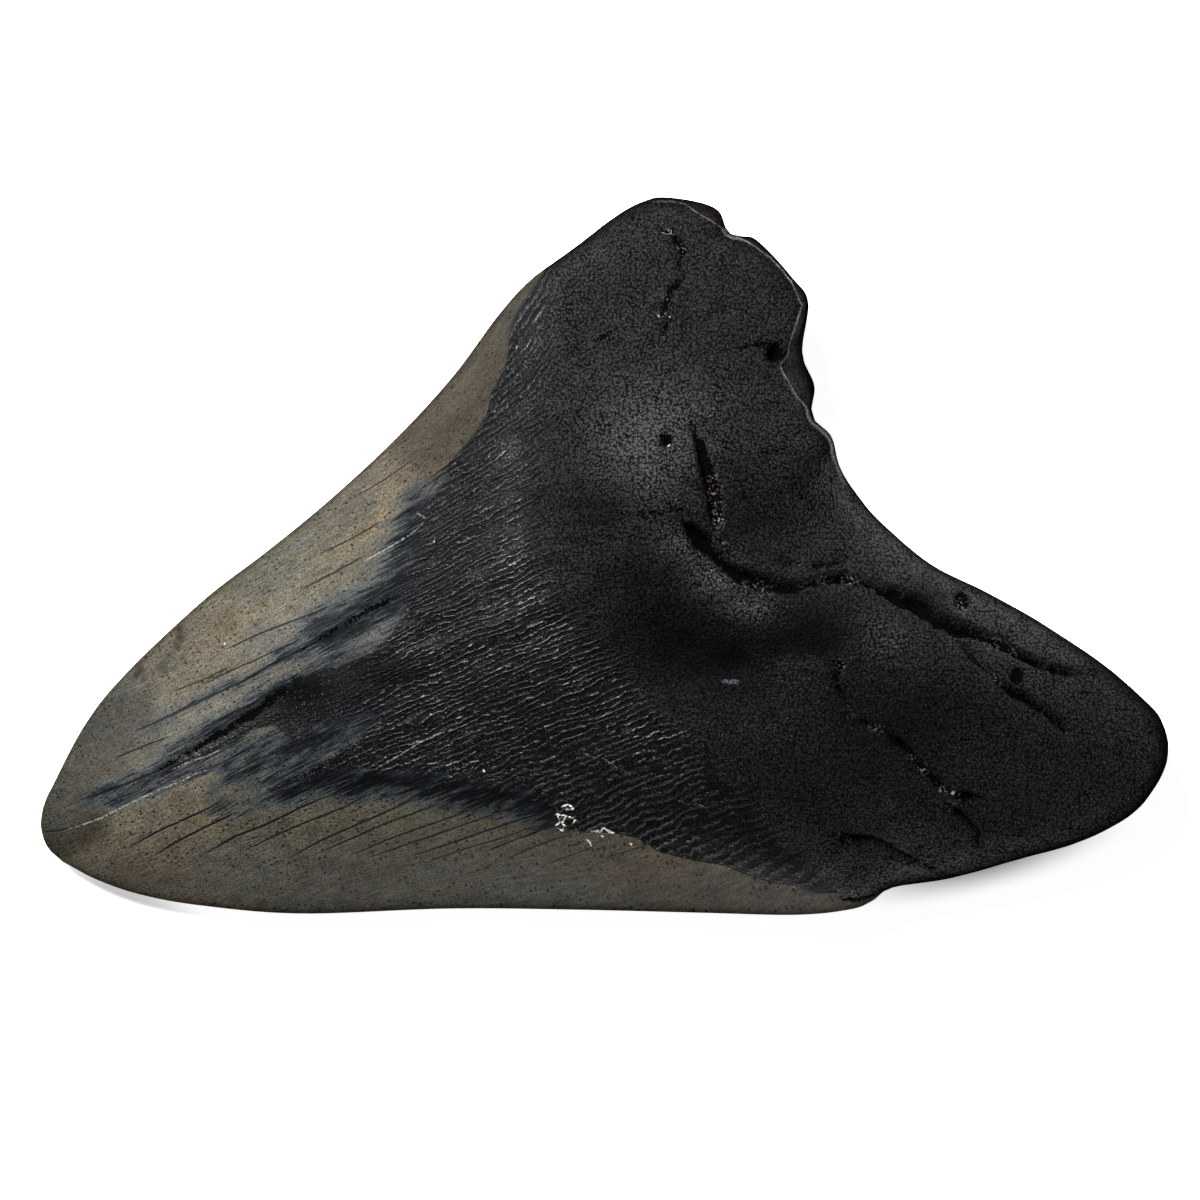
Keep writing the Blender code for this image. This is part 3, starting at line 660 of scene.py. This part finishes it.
def surfaceMarks(x, y, marks, edgeGap, under):
    # everything that the material reads from the mesh, in millimetres or as a share
    toMm = pixel / millimetre
    wedge, low = (ovalShare(x, y, *softBorders[name]) for name in ("wedge", "lip"))
    neckGap = lineGap(np.stack([x, y], axis=-1), np.array(softBorders["neck"]))
    upper = 1 - ease(neckGap, *softBorders["neckReach"])
    marks["soft"] = 0.08 + 0.6 * np.maximum(wedge * 0.4, low) + 0.9 * upper
    # the blue shading is dragged along the fibres, so that its edges end in streaks
    waves = np.stack([marks[name] / blueDrag[name] for name in ("along", "across")], axis=-1)
    drag = blueDrag["length"] * latticeNoise(waves, 37)
    slant = math.radians(blueDrag["slant"])
    marks["blue"] = brushed(x + drag * math.cos(slant), y - drag * math.sin(slant), blueStrokes)
    for name, strokes in (("brown", brownStrokes), ("grey", greyStrokes), ("toneAndPaintedShade", toneAndPaintedShadeStrokes),
                          ("split", splitStrokes)):
        marks[name] = brushed(x, y, strokes)
    # gloss: less on the root and near the outline; it also scales the colour of the lighter grit and
    # sparkles, so the listed spots are painted highlights and painted shade
    marks["glossAndPaintedLight"] = (1 - 0.52 * ease(marks["root"], -4, 2)) * ease(edgeGap, 0.2, 2.2)
    # painted shade: darker within a millimetre of the outline
    marks["toneAndPaintedShade"] = np.maximum(marks["toneAndPaintedShade"], 0.7 * (1 - ease(edgeGap, 0.1, 1.0)))
    for spot, radii, change in paintedLightSpots:
        away = ((x - spot[0]) / radii[0]) ** 2 + ((y - spot[1]) / radii[1]) ** 2
        marks["glossAndPaintedLight"] *= 1 + change * np.exp(-away)
    for name, spots in (("stain", stains), ("glint", glintSpots), ("sand", sandSpots)):
        marks[name] = dotted(x, y, spots) * (1 - under)
    for name, lines in (("dark", darkLines), ("pale", paleLines), ("rim", rimLines)):
        signed, width = strokeMarks(x, y, lines)
        marks[name] = np.clip(signed * toMm, -3, 3)
        marks[name + "Wide"] = width * toMm * (1 - under)
    grains = np.full(x.shape, 9.0)
    for (spotX, spotY), radius in whiteGrains:
        grains = np.minimum(grains, (np.hypot(x - spotX, y - spotY) - radius) * toMm)
    marks["grain"] = np.where(under > 0.5, 9.0, grains)
    # wrinkles: full on the neck, weak above and towards the lower lip
    lip = ease(x - 0.6 * (y - 850), 640, 760) * ease(y, 780, 850)
    rope = (0.6 + 0.4 * ease(y, 480, 600)) * (1 - 0.7 * lip) * (0.25 + 0.75 * ease(x, 330, 400))
    marks["rope"] = rope * (1 - under)
    return marks


grid = {"along": 330, "across": 252, "coarser": 3, "alongEdge": 0.25, "acrossEdge": 0.55}


def spread(count, edgeShare):
    # shares from 0 to 1, closer together towards both ends
    even = np.linspace(0, 1, count + 1)
    return (1 - edgeShare) * even + edgeShare * 0.5 * (1 - np.cos(math.pi * even))


labial = {                                         # the underside: pixels round its black, millimetres
    "black": [(540, 200), (548, 268), (585, 360), (640, 470), (700, 560), (752, 640), (800, 730),
              (846, 830), (868, 905), (900, 960), (1300, 1000), (1300, 100), (560, 100)],
    "wave": 3, "rough": 0.10, "roughest": 0.3, "borderSwing": 0.4, "rootInset": 1.0,
    "soft": 0.25, "blue": 0.6, "blueReach": 9,
}


def toothArrays():
    u, v = np.meshgrid(*(spread(grid[way], grid[way + "Edge"]) for way in ("along", "across")), indexing="ij")
    places = planGrid(u, v)
    rim = stationValue(form["rimHeight"], u) * millimetre
    band = stationValue(form["rimBand"], u) * millimetre
    share = marginFall(u, v, places)
    height = rim + band / 2 + (domeHeight(u, v, places) - rim - band / 2) * share
    top = np.concatenate([places, height[..., None]], axis=-1)
    slopeU = np.gradient(top, axis=0)
    slopeV = np.gradient(top, axis=1)
    normal = np.cross(slopeU, slopeV)
    normal /= np.linalg.norm(normal, axis=-1, keepdims=True) + 1e-18
    rise, marks, x, y = lingualRelief(places, share)
    top = top + normal * rise[..., None]
    sides = [smoothCurve(toPlace(plan[side]), 4) for side in ("lowerEdge", "basalMargin")]
    outline = np.vstack(sides + [smoothCurve(toPlace(plan["upperEdge"]), 4)[::-1],
                                 smoothCurve(toPlace(plan["tipRound"]), 4)[::-1]])
    gap = lineGap(places, outline)
    marks = surfaceMarks(x, y, marks, gap / millimetre, np.zeros(x.shape))

    step = grid["coarser"]
    u, v, places, rim, band, gap = (part[::step, ::step] for part in (u, v, places, rim, band, gap))
    rounding = stationValue(form["labialRounding"], u) * millimetre
    soft = (1 - np.clip(gap / rounding, 0, 1)) ** 2
    hard = 1 - quarterRound(gap, rounding)
    low = (rim - band / 2) * (soft + (hard - soft) * ease(u, 0.5, 0.8))
    x2, y2 = x[::step, ::step], y[::step, ::step]
    black = loopDepth(places, toPlace(labial["black"])) / millimetre
    waves = places / (labial["wave"] * millimetre)
    rough = labial["rough"] * ease(black, -0.5, 0.8) * (1 + layeredNoise(waves, 61, 3))
    low = low + np.clip(rough, 0, labial["roughest"]) * millimetre * ease(gap / millimetre, 0, 3)
    below = {"black": black + labial["borderSwing"] * latticeNoise(waves, 64),
             "root": black - labial["rootInset"], "broken": np.full(x2.shape, -3.0),
             "crack": np.full(x2.shape, 9.0),
             "along": marks["along"][::step, ::step], "across": marks["across"][::step, ::step]}
    below = surfaceMarks(x2, y2, below, gap / millimetre, np.ones(x2.shape))
    below["soft"] = np.full(x2.shape, labial["soft"])
    below["blue"] = labial["blue"] * (1 - ease(-black, 0, labial["blueReach"]))
    bottom = np.concatenate([places, low[..., None]], axis=-1)
    return top, bottom, marks, below


def ringOf(index):
    # the grid's border, once round
    return np.concatenate([index[:-1, 0], index[-1, :-1], index[:0:-1, -1], index[0, :0:-1]])


def buildTooth():
    top, bottom, marks, below = toothArrays()
    topIndex = np.arange(top.shape[0] * top.shape[1]).reshape(top.shape[:2])
    lowIndex = topIndex.size + np.arange(bottom.shape[0] * bottom.shape[1]).reshape(bottom.shape[:2])
    vertices = np.vstack([top.reshape(-1, 3), bottom.reshape(-1, 3)])
    quads = [np.stack([ix[:-1, :-1], ix[1:, :-1], ix[1:, 1:], ix[:-1, 1:]], -1).reshape(-1, 4)[:, order]
             for ix, order in ((topIndex, [0, 1, 2, 3]), (lowIndex, [3, 2, 1, 0]))]
    fine, coarse, step = ringOf(topIndex), ringOf(lowIndex), grid["coarser"]
    starts = np.arange(0, len(fine), step)
    side = np.stack([coarse, np.roll(coarse, -1)]
                    + [fine[(starts + k) % len(fine)] for k in range(step, -1, -1)], axis=-1)
    mesh = bpy.data.meshes.new("toothSurface")
    mesh.from_pydata(vertices.tolist(), [], quads[0].tolist() + quads[1].tolist() + side.tolist())
    mesh.validate()
    for name in marks:
        layer = mesh.attributes.new(name, "FLOAT", "POINT")
        values = np.concatenate([marks[name].ravel(), below[name].ravel()])
        layer.data.foreach_set("value", values.astype(np.float32))
    mesh.shade_smooth()
    tooth = bpy.data.objects.new("toothSkin", mesh)
    bpy.context.scene.collection.objects.link(tooth)
    print("tooth skin", len(mesh.vertices), "points", len(mesh.polygons), "faces")
    return tooth


def seen(red, green, blue):
    # a colour as seen on a screen, 0 to 255, to the linear colour that a shader takes
    share = np.array([red, green, blue]) / 255
    linear = np.where(share <= 0.04045, share / 12.92, ((share + 0.055) / 1.055) ** 2.4)
    return (*linear, 1.0)


fossilLook = {
    "tan": seen(64, 60, 50), "olive": seen(58, 56, 48), "brown": seen(69, 60, 47),
    "grey": seen(58, 59, 55), "blueLight": seen(42, 46, 47), "blueDark": seen(15, 18, 21),
    "speck": seen(8, 8, 8), "black": (0.0016, 0.0017, 0.0020, 1), "gritAndPaintedSheen": (0.014, 0.0145, 0.0158, 1),
    "break": seen(17, 14, 12), "paintedCrackShade": (0.0012, 0.0012, 0.0013, 1), "stain": seen(30, 23, 17),
    "sand": seen(112, 103, 94), "white": seen(190, 188, 180), "pale": seen(112, 112, 108),
    # the lens colour is a painted highlight: on the crater's lip and in the sparkles
    "darkLine": seen(7, 8, 9), "lens": seen(70, 72, 77), "lensPixel": (730, 681), "lensRadii": (1.3, 0.36),
    "enamelRoughness": 0.50, "blackRoughness": 0.34, "shine": 0.075,
    "ropeWave": 0.58, "ropeHeight": 0.16, "ropeWarp": 1.3, "ropeKink": 0.42,
    "pebbleHeight": 0.20, "cellScale": 3000, "crackEdge": 0.25,
}
textures = {                                       # noise: waves a metre, layers, roughness
    "clouds": (90, 3, 0.6), "mottle": (420, 4, 0.7), "grain": (4600, 2, 0.75),
    "crumbs": (3000, 3, 0.65), "pebbles": (2500, 3, 0.9),
}
fibreTextures = {                                  # noise: waves along and across in mm, layers, roughness
    "streaks": (3.0, 0.21, 2, 0.6), "wideStreaks": (14, 1.6, 3, 0.6), "warp": (6.5, 3.2, 1, 0.5),
    "kinks": (0.70, 0.60, 1, 0.5), "patchy": (3.2, 0.7, 1, 0.5),
}


class nodeMaker:
    # short calls for nodes and their links
    def __init__(self, material):
        self.tree = material.node_tree
        self.count = 0
        self.marks = {}

    def add(self, kind, **values):
        node = self.tree.nodes.new(kind)
        self.count += 1
        node.location = (220 * (self.count % 12), -200 * (self.count // 12))
        for name, value in values.items():
            setattr(node, name, value)
        return node

    def plug(self, value, socket):
        if isinstance(value, bpy.types.NodeSocket):
            self.tree.links.new(value, socket)
        else:
            socket.default_value = value

    def mark(self, name):
        if name not in self.marks:
            self.marks[name] = self.add("ShaderNodeAttribute", attribute_name=name).outputs["Fac"]
        return self.marks[name]

    def math(self, operation, first, second=0.0, clamp=False):
        node = self.add("ShaderNodeMath", operation=operation, use_clamp=clamp)
        self.plug(first, node.inputs[0])
        self.plug(second, node.inputs[1])
        return node.outputs[0]

    def times(self, *values):
        result = values[0]
        for value in values[1:]:
            result = self.math("MULTIPLY", result, value)
        return result

    def plus(self, *values):
        result = values[0]
        for value in values[1:]:
            result = self.math("ADD", result, value)
        return result

    def about(self, value, size):
        # noise from 0 to 1 turned into a swing of the given size about nothing
        return self.times(self.math("SUBTRACT", value, 0.5), size)

    def fit(self, value, low, high, newLow=0.0, newHigh=1.0):
        node = self.add("ShaderNodeMapRange", interpolation_type="SMOOTHSTEP")
        for socket, entry in zip(node.inputs[:5], (value, low, high, newLow, newHigh)):
            self.plug(entry, socket)
        return node.outputs[0]

    def mix(self, share, first, second, blend="MIX"):
        node = self.add("ShaderNodeMix", data_type="RGBA", blend_type=blend)
        self.plug(share, node.inputs[0])
        self.plug(first, node.inputs[6])
        self.plug(second, node.inputs[7])
        return node.outputs[2]

    def tint(self, colour, value, low, high):
        # the colour made darker or lighter by a value from 0 to 1
        level = self.fit(value, 0.0, 1.0, low, high)
        grey = self.add("ShaderNodeCombineColor")
        for socket in grey.inputs[:3]:
            self.plug(level, socket)
        return self.mix(1.0, colour, grey.outputs[0], "MULTIPLY")

    def fibres(self, alongWave, acrossWave):
        # coordinates that follow the fibres, in waves of the given lengths in millimetres
        place = self.add("ShaderNodeCombineXYZ")
        self.plug(self.times(self.mark("along"), 1 / alongWave), place.inputs[0])
        self.plug(self.times(self.mark("across"), 1 / acrossWave), place.inputs[1])
        return place.outputs[0]

    def noise(self, vector, scale, detail, roughness):
        # fibre coordinates lie in a plane, so two dimensions are enough for them
        flat = vector.node.type == "COMBXYZ"
        node = self.add("ShaderNodeTexNoise", noise_dimensions="2D" if flat else "3D")
        self.plug(vector, node.inputs["Vector"])
        for name, value in (("Scale", scale), ("Detail", detail), ("Roughness", roughness)):
            node.inputs[name].default_value = value
        return node.outputs[0]

    def fibreNoise(self, name):
        alongWave, acrossWave, detail, roughness = fibreTextures[name]
        return self.noise(self.fibres(alongWave, acrossWave), 1, detail, roughness)

    def cells(self, vector, scale):
        node = self.add("ShaderNodeTexVoronoi", voronoi_dimensions="2D")
        self.plug(vector, node.inputs["Vector"])
        node.inputs["Scale"].default_value = scale
        return node

    def vector(self, operation, first, second=(0, 0, 0)):
        node = self.add("ShaderNodeVectorMath", operation=operation)
        self.plug(first, node.inputs[0])
        self.plug(second, node.inputs[1])
        return node

    def ringedPlace(self, place, middle, radii):
        # distance from a place given in pixels, in radii given in millimetres
        shift = self.vector("SUBTRACT", place, (*toPlace(middle), 0)).outputs[0]
        scaled = self.vector("MULTIPLY", shift, (1 / (radii[0] * millimetre), 1 / (radii[1] * millimetre), 0))
        return self.vector("LENGTH", scaled.outputs[0]).outputs["Value"]

    def dash(self, place, start, stop, halfWidth, waver):
        # 1 on a straight stroke between two pixels, from the distance to its nearest point
        start, stop = toPlace(start), toPlace(stop)
        span = stop - start
        away = self.vector("SUBTRACT", place, (*start, 0)).outputs[0]
        share = self.vector("DOT_PRODUCT", away, (*(span / (span @ span)), 0)).outputs["Value"]
        nearest = self.vector("SCALE", (*span, 0))
        self.plug(self.math("ADD", share, 0.0, clamp=True), nearest.inputs["Scale"])
        gap = self.plus(self.vector("DISTANCE", away, nearest.outputs[0]).outputs["Value"], waver)
        return self.fit(gap, (halfWidth + 0.4) * pixel, (halfWidth - 0.4) * pixel)

    def thinLine(self, name, soft, waver):
        # 1 on the line: its half-width less the distance from it, over a soft edge
        gap = self.math("ABSOLUTE", self.plus(self.mark(name), waver))
        inside = self.math("SUBTRACT", self.mark(name + "Wide"), gap)
        edge = self.math("DIVIDE", self.plus(inside, soft), 2 * soft, clamp=True)
        return self.times(edge, self.fit(self.mark(name + "Wide"), 0.005, 0.04))


def fossilMaterial():
    material = bpy.data.materials.new("fossilTooth")
    material.use_nodes = True
    make = nodeMaker(material)
    look = fossilLook
    shader = material.node_tree.nodes["Principled BSDF"]
    plain = make.add("ShaderNodeTexCoord").outputs["Object"]
    level = make.vector("MULTIPLY", plain, (1, 1, 0)).outputs[0]

    clouds, mottle, grain = (make.noise(plain, *textures[name]) for name in ("clouds", "mottle", "grain"))
    streaks, wideStreaks = (make.fibreNoise(name) for name in ("streaks", "wideStreaks"))

    # enamel: tan and olive clouds, brown and grey streaks along the fibres, fine grain
    enamel = make.mix(make.fit(clouds, 0.40, 0.65, 0.0, 0.8), look["tan"], look["olive"])
    for name, low, high in (("brown", 0.28, 0.60), ("grey", 0.30, 0.58)):
        enamel = make.mix(make.times(make.mark(name), make.fit(wideStreaks, low, high)), enamel, look[name])
    # darker enamel, partly its own tone and partly painted shade
    enamel = make.tint(enamel, make.mark("toneAndPaintedShade"), 1.0, 0.35)
    stained = make.times(make.mark("stain"), make.fit(grain, 0.35, 0.55, 0.3, 1.0))
    enamel = make.mix(stained, enamel, look["stain"])

    # pores: cells of uneven size, drawn out along the fibres
    pore = make.cells(make.fibres(0.66, 0.44), 1.0)
    chance = make.add("ShaderNodeSeparateColor")
    make.plug(pore.outputs["Color"], chance.inputs[0])
    reach = make.fit(chance.outputs[0], 0.50, 1.1, 0.0, 0.34)
    pores = make.fit(make.math("SUBTRACT", reach, pore.outputs["Distance"]), -0.04, 0.06)

    # from tan through blue-grey to black, ragged along the fibres
    blueMark = make.mark("blue")
    ragged = make.plus(make.about(wideStreaks, 1.0), make.about(streaks, 1.4))
    shade = make.plus(blueMark, make.times(ragged, make.fit(blueMark, 0.0, 0.25)))
    enamel = make.mix(make.times(make.fit(shade, 0.10, 0.50), 0.92), enamel, look["blueLight"])
    enamel = make.mix(make.fit(shade, 0.40, 0.80), enamel, look["blueDark"])
    enamel = make.mix(make.fit(shade, 0.74, 1.0), enamel, look["black"])
    enamel = make.tint(enamel, make.fit(streaks, 0.28, 0.72), 0.80, 1.20)
    enamel = make.tint(enamel, make.fit(mottle, 0.30, 0.70), 0.84, 1.14)
    enamel = make.tint(enamel, make.fit(grain, 0.30, 0.70), 0.52, 1.50)
    enamel = make.mix(make.times(pores, 0.85), enamel, look["speck"])
    split = make.times(make.mark("split"), make.fit(streaks, 0.60, 0.68))
    enamel = make.mix(make.times(split, 0.75), enamel, look["darkLine"])

    # black root and neck: pebbles of several sizes, their tops lighter in colour, partly grit and partly
    # painted sheen that follows the gloss mark
    cells = make.cells(plain, look["cellScale"]).outputs["Distance"]
    pebble = make.plus(make.times(cells, -0.5), make.noise(plain, *textures["pebbles"]), 0.2)
    sparkle = make.fit(grain, 0.63, 0.68)
    root = make.fit(make.plus(make.mark("root"), make.about(wideStreaks, 5.0)), -2.5, 2.5)
    blackSide = make.plus(make.mark("black"), make.times(make.about(wideStreaks, 3.4), make.mark("soft")))
    blackShare = make.fit(make.math("DIVIDE", blackSide, make.mark("soft")), -1.0, 1.0)
    gritAndPaintedSheen = make.times(make.fit(pebble, 0.36, 0.74), make.fit(root, 0.0, 1.0, 0.4, 1.0), make.mark("glossAndPaintedLight"))
    bone = make.mix(make.times(gritAndPaintedSheen, 0.7), look["black"], look["gritAndPaintedSheen"])
    # painted glints: sparkles of light colour on the black
    bone = make.mix(make.times(sparkle, make.mark("glossAndPaintedLight"), 0.6), bone, look["lens"])
    colour = make.mix(blackShare, enamel, bone)

    # broken face, cracks painted dark as shade, dirt, thin marks, painted glints and a painted highlight
    broken = make.fit(make.mark("broken"), 0.0, 0.15)
    colour = make.mix(make.times(broken, make.fit(mottle, 0.40, 0.60, 0.1, 0.9)), colour, look["break"])
    crumbs = make.noise(plain, *textures["crumbs"])
    waver = make.about(crumbs, 0.24)
    darkMark = make.thinLine("dark", 0.05, waver)
    colour = make.mix(darkMark, colour, look["darkLine"])
    # painted shade: near-black inside the cracks and the deeper pits
    crackGap = make.plus(make.mark("crack"), make.about(crumbs, 1.6), make.about(mottle, 0.5))
    crack = make.fit(crackGap, 0.05, -0.15)
    colour = make.mix(crack, colour, look["paintedCrackShade"])
    paleMark = make.times(make.thinLine("pale", 0.05, waver), make.fit(crumbs, 0.42, 0.58))
    colour = make.mix(make.times(paleMark, 0.80), colour, look["pale"])
    rimMark = make.times(make.thinLine("rim", 0.05, waver), make.fit(mottle, 0.44, 0.62, 0.0, 0.4))
    colour = make.mix(rimMark, colour, look["pale"])
    inCrack = make.fit(make.mark("crack"), 0.5, 0.0)
    sandy = make.times(make.mark("sand"), make.fit(crumbs, 0.555, 0.60), inCrack)
    colour = make.mix(sandy, colour, make.tint(look["sand"], make.fit(grain, 0.35, 0.70), 0.4, 1.5))
    glint = make.times(make.mark("glint"), make.fit(grain, 0.63, 0.70))
    colour = make.mix(make.times(glint, 0.5), colour, look["pale"])
    grains = make.fit(make.plus(make.mark("grain"), waver), 0.06, -0.06)
    for points, halfWidth in fleckLines:
        for start, stop in zip(points[:-1], points[1:]):
            fleck = make.dash(level, start, stop, halfWidth, make.times(waver, 0.0022))
            grains = make.math("MAXIMUM", grains, fleck)
    colour = make.mix(grains, colour, look["white"])
    # painted highlight: a light lens on the lower lip of the crater
    ring = make.ringedPlace(level, look["lensPixel"], look["lensRadii"])
    lens = make.fit(make.plus(ring, waver), 1.0, 0.6)
    colour = make.mix(make.times(lens, make.fit(grain, 0.42, 0.62)), colour, look["lens"])
    make.plug(colour, shader.inputs["Base Color"])

    # fine relief in millimetres: wrinkles that run along the fibres, pebbles on the root
    warp = make.about(make.fibreNoise("warp"), look["ropeWarp"])
    kinks = make.about(make.fibreNoise("kinks"), look["ropeKink"])
    turns = make.times(make.plus(make.mark("across"), warp, kinks), 2 * math.pi / look["ropeWave"])
    wave = make.math("SINE", turns)
    strength = make.fit(make.fibreNoise("patchy"), 0.34, 0.54, 0.15, 1.0)
    onRope = make.times(make.math("SUBTRACT", 1.0, root), make.mark("rope"), strength)
    ropes = make.times(make.fit(wave, -0.35, 1.0), onRope, look["ropeHeight"])
    rougher = make.plus(make.fit(root, 0.0, 1.0, 0.14, 1.0), make.times(make.mark("glint"), 0.6))
    pebbles = make.times(pebble, rougher, look["pebbleHeight"])
    skin = make.times(make.plus(ropes, pebbles), make.fit(blackShare, 0.0, 1.0, 0.04, 1.0))
    height = make.plus(skin, make.times(crack, -look["crackEdge"]), make.times(darkMark, -0.06),
                       make.times(pores, -0.02), make.times(glint, 0.05))
    bump = make.add("ShaderNodeBump")
    bump.inputs["Strength"].default_value = 1.0
    bump.inputs["Distance"].default_value = millimetre
    make.plug(height, bump.inputs["Height"])
    make.plug(bump.outputs["Normal"], shader.inputs["Normal"])

    # gloss: duller in cracks, broken faces and valleys between wrinkles
    rough = make.fit(blackShare, 0.0, 1.0, look["enamelRoughness"], look["blackRoughness"])
    dull = make.math("MAXIMUM", make.math("MAXIMUM", broken, sandy), grains)
    make.plug(make.plus(rough, make.times(dull, 0.3)), shader.inputs["Roughness"])
    crest = make.times(make.fit(wave, 0.40, 0.95, -1.0, 3.9), onRope, make.fit(pebble, 0.40, 0.60, 0.5, 1.3))
    valley = make.times(make.fit(pebble, 0.40, 0.66, -0.7, 1.3), make.fit(root, 0.0, 1.0, 0.3, 1.0))
    patches = make.times(make.about(mottle, 2.6), root)
    onBlack = make.times(make.plus(crest, valley, patches, make.times(sparkle, 5.0)), blackShare)
    onBlue = make.times(make.fit(shade, 0.3, 0.8, 0.0, -0.75), make.math("SUBTRACT", 1.0, blackShare))
    onBlack = make.plus(onBlack, onBlue)
    bare = make.math("SUBTRACT", 1.0, make.math("MAXIMUM", crack, make.times(broken, 0.85)))
    gloss = make.math("MAXIMUM", make.plus(1.0, onBlack), 0.05)
    shine = make.times(gloss, bare, make.mark("glossAndPaintedLight"), look["shine"])
    make.plug(shine, shader.inputs["Specular IOR Level"])
    shader.inputs["Metallic"].default_value = 0.0
    shader.inputs["IOR"].default_value = 1.5
    return material


studio = {
    "floorColour": (0.90, 0.90, 0.90, 1.0),
    "floorGlow": 0.96,
    "contactShade": [                              # painted shadows, the paper's glow dimmed in ovals: pixel, radii in pixels, turn in degrees, share taken away
        ((985, 860), (160, 36), 14.5, 0.75),
        ((120, 893), (110, 24), -20, 0.45),
    ],
    "floorRadius": 3.0,
    "ambient": 0.03,
    "key": {"place": (-0.50, 0.72, 1.02), "size": 0.6, "power": 70.0},
    "floorPoints": 96,
    "cameraHeight": 2.4,
    "focusHeight": 0.006,                          # the level at which a pixel has its true size
    "framePixel": (600, 600),
    "framePixels": 1200,
}


def makeFloor():
    # a round sheet: one ring of points, level with the table
    count = studio["floorPoints"]
    angles = np.linspace(0, 2 * math.pi, count, endpoint=False)
    ring = np.stack([np.cos(angles), np.sin(angles), 0 * angles], axis=-1) * studio["floorRadius"]
    mesh = bpy.data.meshes.new("paper")
    mesh.from_pydata(ring.tolist(), [], [list(range(count))])
    floor = bpy.data.objects.new("paper", mesh)
    bpy.context.scene.collection.objects.link(floor)
    material = bpy.data.materials.new("whitePaper")
    material.use_nodes = True
    shader = material.node_tree.nodes["Principled BSDF"]
    shader.inputs["Base Color"].default_value = studio["floorColour"]
    shader.inputs["Roughness"].default_value = 0.9
    shader.inputs["Specular IOR Level"].default_value = 0.1
    shader.inputs["Emission Color"].default_value = (1, 1, 1, 1)
    make = nodeMaker(material)
    glow = studio["floorGlow"]
    for spot, radii, turn, dimmer in studio["contactShade"]:
        # ellipse turned on the paper: its edge is at distance 1; inside it the glow is dimmed as a painted
        # shadow
        mapping = make.add("ShaderNodeMapping", vector_type="TEXTURE")
        make.plug(make.add("ShaderNodeTexCoord").outputs["Object"], mapping.inputs["Vector"])
        mapping.inputs["Location"].default_value = (*toPlace(spot), 0)
        mapping.inputs["Rotation"].default_value = (0, 0, math.radians(turn))
        mapping.inputs["Scale"].default_value = (radii[0] * pixel, radii[1] * pixel, 1)
        length = make.vector("LENGTH", mapping.outputs[0]).outputs["Value"]
        glow = make.times(make.fit(length, 0.1, 1.0, 1 - dimmer, 1.0), glow)
    make.plug(glow, shader.inputs["Emission Strength"])
    mesh.materials.append(material)
    floor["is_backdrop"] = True
    return floor


def aim(thing, target):
    x, y, z = np.array(target) - np.array(thing.location)
    thing.rotation_euler = (math.atan2(math.hypot(x, y), -z), 0, math.atan2(y, x) - math.pi / 2)


def makeLights():
    look = studio["key"]
    data = bpy.data.lights.new("key", "AREA")
    data.shape = "DISK"
    data.size = look["size"]
    data.energy = look["power"]
    light = bpy.data.objects.new("key", data)
    light.location = look["place"]
    bpy.context.scene.collection.objects.link(light)
    aim(light, (0, 0, 0))
    world = bpy.data.worlds.new("room")
    world.use_nodes = True
    level = studio["ambient"]
    world.node_tree.nodes["Background"].inputs["Color"].default_value = (level, level, level, 1)
    bpy.context.scene.world = world
    bpy.context.scene.view_settings.view_transform = "Standard"


def makeCamera():
    data = bpy.data.cameras.new("above")
    camera = bpy.data.objects.new("above", data)
    bpy.context.scene.collection.objects.link(camera)
    centre = toPlace(studio["framePixel"])
    camera.location = (centre[0], centre[1], studio["cameraHeight"])
    width = studio["framePixels"] * pixel
    data.sensor_width = 36.0
    data.lens = data.sensor_width * (studio["cameraHeight"] - studio["focusHeight"]) / width
    data.clip_end = 20
    bpy.context.scene.camera = camera


makeCamera()
makeLights()
makeFloor()
print("camera, lights and paper")
tooth = buildTooth()
tooth.data.materials.append(fossilMaterial())
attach(tooth, "root")
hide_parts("tooth")
print("tooth finished")
